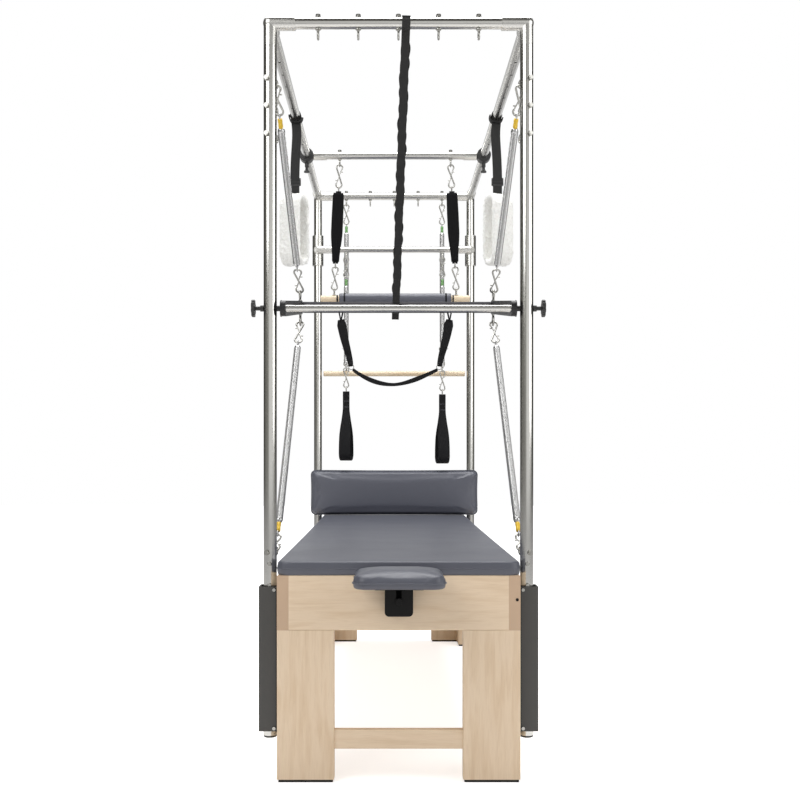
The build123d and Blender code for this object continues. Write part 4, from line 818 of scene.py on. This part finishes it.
class TABLE_OT_sling(bpy.types.Operator):
    """Make the sling: thin loops round the bar, gathered to a band that sags between two turns."""

    bl_idname = "table.sling"
    bl_label = "Sling"

    def execute(self, context):
        bm = bmesh.new()
        centre = Vector((0, SLIDER_Y, 0))
        join = 1.465

        def gathered(share):
            """The band's section, widest near its top and gathered towards the turn."""
            rise = min(1.0, share / 0.12)
            return flat_section(0.020 + 0.016 * rise * (1 - share) ** 0.8 + 0.006 * (1 - share), 0.0024)

        for side in SIDES:
            for x, radius in ((0.211, 0.0237), (0.241, 0.0157)):
                bar = centre + X * (side * x) + Z * TRAPEZE_BAR_Z
                loop = arc(bar, Y, Z, radius, -60, 240, 24)
                foot = centre + X * (side * 0.2265) + Z * (join + 0.004)
                path = smooth_path([foot - Y * 0.0012, *loop[::-1][:1]], 0.01) + loop[::-1][1:-1]
                path += smooth_path([loop[0], foot + Y * 0.0012], 0.01)
                sweep(bm, path, flat_section(0.006, 0.0018, 12), across=X)
            band = [centre + X * (side * 0.2265) + Z * (join + 0.012), centre + X * (side * 0.212) + Z * 1.40,
                    centre + X * (side * 0.1915) + Z * 1.32, centre + X * (side * 0.184) + Z * 1.282]
            sweep(bm, smooth_path(band, 0.008), gathered, across=X)
            turn = centre + X * (side * 0.183) + Z * 1.279
            ring(bm, turn, Y, 0.0105, 0.0016, 1)
            knot = [turn + X * (side * 0.004) + Y * (0.008 * math.cos(t)) + Z * (0.012 + 0.008 * math.sin(t))
                    for t in (i * math.pi / 8 for i in range(16))]
            sweep(bm, knot, flat_section(0.016, 0.003), across=X, closed=True)
            tab = turn + X * (side * 0.010) + Z * 0.055
            tail = [tab, tab + X * (side * 0.012) + Z * 0.016, tab + X * (side * 0.028) + Z * 0.022]
            sweep(bm, smooth_path(tail, 0.004), lambda share: flat_section(0.009 * (1 - 0.6 * share), 0.0016), across=Y)
        line = []
        for i in range(49):
            t = i / 24 - 1
            line.append(centre + X * (0.176 * t) + Z * (1.2065 + 0.012 * t * (1 - t * t) + 0.062 * abs(t) ** 1.8))
        sweep(bm, line, lambda share: flat_section(0.003, 0.0135 + 0.006 * math.sin(2 * math.pi * share) ** 2), across=Y)
        make_piece("sling_webbing", bm, "sling", ["thin_webbing", "zinc"], ["trapeze_sling"])
        return {"FINISHED"}


class TABLE_OT_fleece_loops(bpy.types.Operator):
    """Make the foot loops: curled fleece bands on straps knotted round the top rails."""

    bl_idname = "table.fleece_loops"
    bl_label = "Fleece loops"

    def execute(self, context):
        tuft = context.scene.table_sizes.tuft
        for side, label in zip(SIDES, ("left", "right")):
            middle = Vector((side * (POST_X + 0.006), FLEECE_Y, 1.879 - 0.273 / 2))
            turn = math.radians(22 * side)
            axis = Vector((math.cos(turn), math.sin(turn), 0))
            deep = Vector((-math.sin(turn), math.cos(turn), 0))
            reach, bend = (0.273 - 0.104) / 2, (0.104 - 0.030) / 2
            path = arc(middle + Z * reach, deep, Z, bend, 0, 180, 18)
            path += [middle - deep * bend + Z * (reach * (1 - 2 * i / 16)) for i in range(1, 16)]
            path += arc(middle - Z * reach, deep, Z, bend, 180, 360, 18)
            path += [middle + deep * bend - Z * (reach * (1 - 2 * i / 16)) for i in range(1, 16)]
            bm = bmesh.new()
            sweep(bm, path, flat_section(0.080, 0.020, 40, 0.5), across=axis, closed=True)
            piece = make_piece(f"{label}_fleece_band", bm, f"{label}_fleece", ["fleece"])
            subdivide(piece, context, 2)
            normals = [vertex.normal.copy() for vertex in piece.data.vertices]
            for vertex, normal in zip(piece.data.vertices, normals):
                at = vertex.co * 120
                curl = noise.turbulence(at, 3, False) + 0.5 * noise.noise(at * 3.1)
                vertex.co += normal * (tuft * min(1.0, max(0.0, curl)))
            bm = bmesh.new()
            rail = Vector((side * POST_X, FLEECE_Y, CANOPY_Z))
            for y in (-0.0105, 0.0105):
                knot = [rail + Y * y + X * u + Z * v for u, v in circle_section(0.0188, 36)]
                sweep(bm, knot, flat_section(0.0195, 0.0022), across=Y, closed=True)
            hitch = [rail + X * u * 1.06 + Z * v for u, v in circle_section(0.0225, 36)][16:37]
            sweep(bm, [point + Y * (0.007 * math.sin(i / 5)) for i, point in enumerate(hitch)],
                  flat_section(0.040, 0.0045), across=Y)
            low = Vector((side * (POST_X + 0.004), FLEECE_Y, 1.874))
            for shift in (-0.0022, 0.0022):
                hang = [rail - Z * 0.021 + Y * shift, rail - Z * 0.07 + Y * (shift * 1.6) - X * (side * 0.003),
                        rail - Z * 0.16 + Y * shift + X * (side * 0.002), low + Z * 0.06 + Y * shift, low]
                sweep(bm, smooth_path(hang, 0.012), flat_section(0.0335, 0.0024), across=X)
            buckle = low + Z * 0.045
            for level in (-0.012, 0.0, 0.012):
                bar = [buckle + Z * level + X * x for x in (-0.019, 0, 0.019)]
                sweep(bm, bar, circle_section(0.0032, 10), material=1)
            for x in (-0.019, 0.019):
                sweep(bm, [buckle + X * x + Z * level for level in (-0.0135, 0, 0.0135)], circle_section(0.0032, 10),
                      material=1)
            strap = make_piece(f"{label}_fleece_strap", bm, f"{label}_fleece", ["black_webbing", "black_plastic"])
            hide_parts(f"{label}_fleece_loop")
            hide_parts(f"{label}_fleece_loop")
        return {"FINISHED"}


class TABLE_OT_hand_loops(bpy.types.Operator):
    """Sew the hand loops: webbing folded through a ring, stitched at the throat."""

    bl_idname = "table.hand_loops"
    bl_label = "Hand loops"

    def execute(self, context):
        for side, label, level in zip(SIDES, ("left", "right"), (1.225, 1.211)):
            eye = Vector((side * HANG_X, REAR_BAR_Y, level))
            turn = math.radians(12 * side)
            axis = Vector((math.cos(turn), math.sin(turn), 0))
            deep = Vector((-math.sin(turn), math.cos(turn), 0))
            low = eye - Z * (0.328 + 0.014)
            bm = bmesh.new()
            ring(bm, eye, X, 0.014, 0.0022, 1)
            half = 0.0335
            corner = [low + Z * (half + 0.0015) + deep * (way * half) for way in (1, -1)]
            throat = [eye - Z * 0.088 + deep * (way * 0.0021) for way in (1, -1)]
            path = smooth_path([eye - Z * 0.0095 + deep * 0.001, eye - Z * 0.03 + deep * 0.0021, throat[0],
                                eye - Z * 0.15 + deep * 0.0115, corner[0] + Z * 0.05 - deep * 0.003, corner[0]], 0.006)
            path += arc(low + Z * (half + 0.0015), deep, Z, half, 0, -180, 20)[1:-1]
            path += smooth_path([corner[1], corner[1] + Z * 0.05 + deep * 0.003, eye - Z * 0.15 - deep * 0.0115,
                                 throat[1], eye - Z * 0.03 - deep * 0.0021, eye - Z * 0.0095 - deep * 0.001], 0.006)

            def band(share):
                """The webbing's section, gathered where it passes through the ring."""
                spread = min(1.0, max(0.0, (min(share, 1 - share) - 0.11) / 0.2))
                return flat_section(0.032 + 0.024 * spread * spread * (3 - 2 * spread), 0.0034, 24)

            sweep(bm, path, band, across=axis)
            for drop in (0.055, 0.059, 0.083, 0.087):
                for out in (-0.0041, 0.0041):
                    seam = [eye - Z * drop + deep * out + axis * x for x in (-0.013, 0, 0.013)]
                    sweep(bm, seam, circle_section(0.0007, 6), material=2)
            make_piece(f"{label}_hand_webbing", bm, f"{label}_hand_end", ["thin_webbing", "zinc", "stitch"],
                       [f"{label}_hand_loop"])
        return {"FINISHED"}


class TABLE_OT_details(bpy.types.Operator):
    """Add the small details: painted shade for the hole in the front rail's end grain and for the headrest bracket's
    slot, and the seam of the trapeze's pad.
    """

    bl_idname = "table.details"
    bl_label = "Details"

    def execute(self, context):
        bm = bmesh.new()
        # A thin dark disc on the front rail's end: painted shade that stands for the hole.
        lathe(bm, Vector((0.3325, -1.0128, 0.513)), -Y, [(0.0, 0.0045), (0.0006, 0.0045)])
        make_piece("rail_end_hole_shade_disc", bm, "frame", ["dark_hole"])
        low, high = (Vector(corner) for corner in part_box("headrest_bracket"))
        button = Vector(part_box("headrest_button")[1])
        bm = bmesh.new()
        # A flat near-black sheet just in front of the bracket: painted shade that stands for the slot where the post
        # runs.
        corners = ((-0.0075, button.z - 0.004), (0.0075, button.z - 0.004), (0.0075, high.z - 0.001), (-0.0075, high.z - 0.001))
        bm.faces.new([bm.verts.new((x, low.y - 0.0004, z)) for x, z in corners])
        make_piece("headrest_slot_shade_sheet", bm, "frame", ["slot_dark"])
        bm = bmesh.new()
        line = [Vector((0.2325 * (i / 20 - 1), SLIDER_Y + 0.0226, TRAPEZE_BAR_Z - 0.0045)) for i in range(41)]
        sweep(bm, line, circle_section(0.0012, 8))
        make_piece("trapeze_pad_seam", bm, "trapeze", ["mat_vinyl"])
        return {"FINISHED"}


class TABLE_OT_stage(bpy.types.Operator):
    """Set the floor, the soft light and the camera."""

    bl_idname = "table.stage"
    bl_label = "Stage"

    def execute(self, context):
        scene = context.scene
        bm = bmesh.new()
        bmesh.ops.create_grid(bm, x_segments=1, y_segments=1, size=14.0)
        data = bpy.data.meshes.new("floor")
        bm.to_mesh(data)
        bm.free()
        tree, surface = new_material("floor")
        seen = tree.nodes.new("ShaderNodeLightPath").outputs["Is Camera Ray"]
        spot = tree.nodes.new("ShaderNodeNewGeometry").outputs["Position"]
        away = add_node(tree, "ShaderNodeVectorMath", {0: spot}, operation="LENGTH").outputs["Value"]
        far = add_node(tree, "ShaderNodeMapRange", {"Value": away, "From Min": 1.6, "From Max": 4.0, "To Min": 0.6})
        glow = add_node(tree, "ShaderNodeMath", {0: seen, 1: far.outputs["Result"]}, operation="MULTIPLY").outputs[0]
        surface(Base_Color=colour("#f4f3f1"), Roughness=0.9, Emission_Color=colour("#ffffff"), Emission_Strength=glow)
        data.materials.append(bpy.data.materials["floor"])
        floor = bpy.data.objects.new("floor", data)
        scene.collection.objects.link(floor)

        world = bpy.data.worlds.new("studio")
        world.use_nodes = True
        tree = world.node_tree
        tree.nodes.clear()
        rays = tree.nodes.new("ShaderNodeLightPath").outputs
        where = tree.nodes.new("ShaderNodeTexCoord").outputs["Generated"]
        room = add_node(tree, "ShaderNodeSeparateXYZ", {"Vector": where}).outputs
        front = add_node(tree, "ShaderNodeMath", {0: room["Y"], 1: -1.0}, operation="MULTIPLY").outputs[0]
        turn = add_node(tree, "ShaderNodeMath", {0: room["X"], 1: front}, operation="ARCTAN2").outputs[0]
        share = add_node(tree, "ShaderNodeMapRange", {"Value": turn, "From Min": -math.pi, "From Max": math.pi})
        walls = add_node(tree, "ShaderNodeValToRGB", {"Fac": share.outputs["Result"]})
        steps = ((0.0, "#ffffff"), (0.05, "#e8e8e8"), (0.09, "#2a2927"), (0.17, "#33322f"), (0.26, "#6e6d68"),
                 (0.42, "#807f7a"), (0.5, "#e4e4e2"), (0.6, "#eaeae8"), (0.7, "#84837e"), (0.82, "#373633"),
                 (0.91, "#2a2927"), (0.95, "#e8e8e8"))
        for place, _ in steps[2:]:
            walls.color_ramp.elements.new(place)
        for element, (place, tone) in zip(walls.color_ramp.elements, steps):
            element.position, element.color = place, colour(tone)
        above = add_node(tree, "ShaderNodeMapRange", {"Value": room["Z"], "From Min": 0.15, "From Max": 0.55})
        hall = add_node(tree, "ShaderNodeMixRGB", {"Fac": above.outputs["Result"], "Color1": walls.outputs["Color"],
                                                   "Color2": colour("#4c4b48")})
        soft = add_node(tree, "ShaderNodeMixRGB", {"Fac": rays["Is Diffuse Ray"], "Color1": hall.outputs["Color"],
                                                   "Color2": colour("#a2a2a4")})
        shown = add_node(tree, "ShaderNodeMixRGB", {"Fac": rays["Is Camera Ray"], "Color1": soft.outputs["Color"],
                                                    "Color2": colour("#ffffff")})
        background = add_node(tree, "ShaderNodeBackground", {"Color": shown.outputs["Color"], "Strength": 1.0})
        output = add_node(tree, "ShaderNodeOutputWorld", {"Surface": background.outputs[0]})
        output.is_active_output = True
        scene.world = world
        lamps = (("key", (-2.4, -3.4, 3.4), 64, 2.6), ("fill", (3.0, -2.0, 2.2), 38, 2.4), ("top", (0, 0.4, 4.4), 190, 3.4))
        for name, place, power, size in lamps:
            light = bpy.data.lights.new(name, "AREA")
            light.energy, light.size = power, size
            lamp = bpy.data.objects.new(name, light)
            lamp.location = place
            lamp.rotation_euler = (Vector((0, 0, 1.1)) - Vector(place)).to_track_quat("-Z", "Y").to_euler()
            scene.collection.objects.link(lamp)

        camera = bpy.data.cameras.new("camera")
        camera.lens, camera.sensor_width = 48.2, 36.0
        camera.shift_x, camera.shift_y = 0.015, 0.063
        holder = bpy.data.objects.new("camera", camera)
        holder.location = (-0.030, -4.017, 0.932)
        holder.rotation_euler = (math.radians(90), 0, 0)
        scene.collection.objects.link(holder)
        scene.camera = holder
        scene.view_settings.view_transform = "Standard"
        return {"FINISHED"}


STEPS = (
    TABLE_OT_finishes,
    TABLE_OT_mattress,
    TABLE_OT_headrest,
    TABLE_OT_end_board,
    TABLE_OT_springs,
    TABLE_OT_safety_strap,
    TABLE_OT_padded_loops,
    TABLE_OT_foam_rolls,
    TABLE_OT_sling,
    TABLE_OT_fleece_loops,
    TABLE_OT_hand_loops,
    TABLE_OT_details,
    TABLE_OT_stage,
)


class TABLE_PT_panel(bpy.types.Panel):
    """Lists the steps that dress the table."""

    bl_label = "Trapeze Table"
    bl_space_type = "VIEW_3D"
    bl_region_type = "UI"
    bl_category = "Trapeze Table"

    def draw(self, context):
        for group in (context.scene.table_colours, context.scene.table_sizes):
            for name in group.bl_rna.properties.keys():
                if name not in ("rna_type", "name"):
                    self.layout.prop(group, name)
        for step in STEPS:
            self.layout.operator(step.bl_idname)


CLASSES = (TableColours, TableSizes, *STEPS, TABLE_PT_panel)


def register():
    """Add the classes and the scene's settings."""
    for item in CLASSES:
        bpy.utils.register_class(item)
    bpy.types.Scene.table_colours = bpy.props.PointerProperty(type=TableColours)
    bpy.types.Scene.table_sizes = bpy.props.PointerProperty(type=TableSizes)


def unregister():
    """Take the settings and the classes away."""
    del bpy.types.Scene.table_sizes
    del bpy.types.Scene.table_colours
    for item in reversed(CLASSES):
        bpy.utils.unregister_class(item)


def main():
    """Register the steps and run each in turn to dress the table."""
    register()
    for step in STEPS:
        group, name = step.bl_idname.split(".")
        getattr(getattr(bpy.ops, group), name)()


if __name__ == "__main__":
    main()
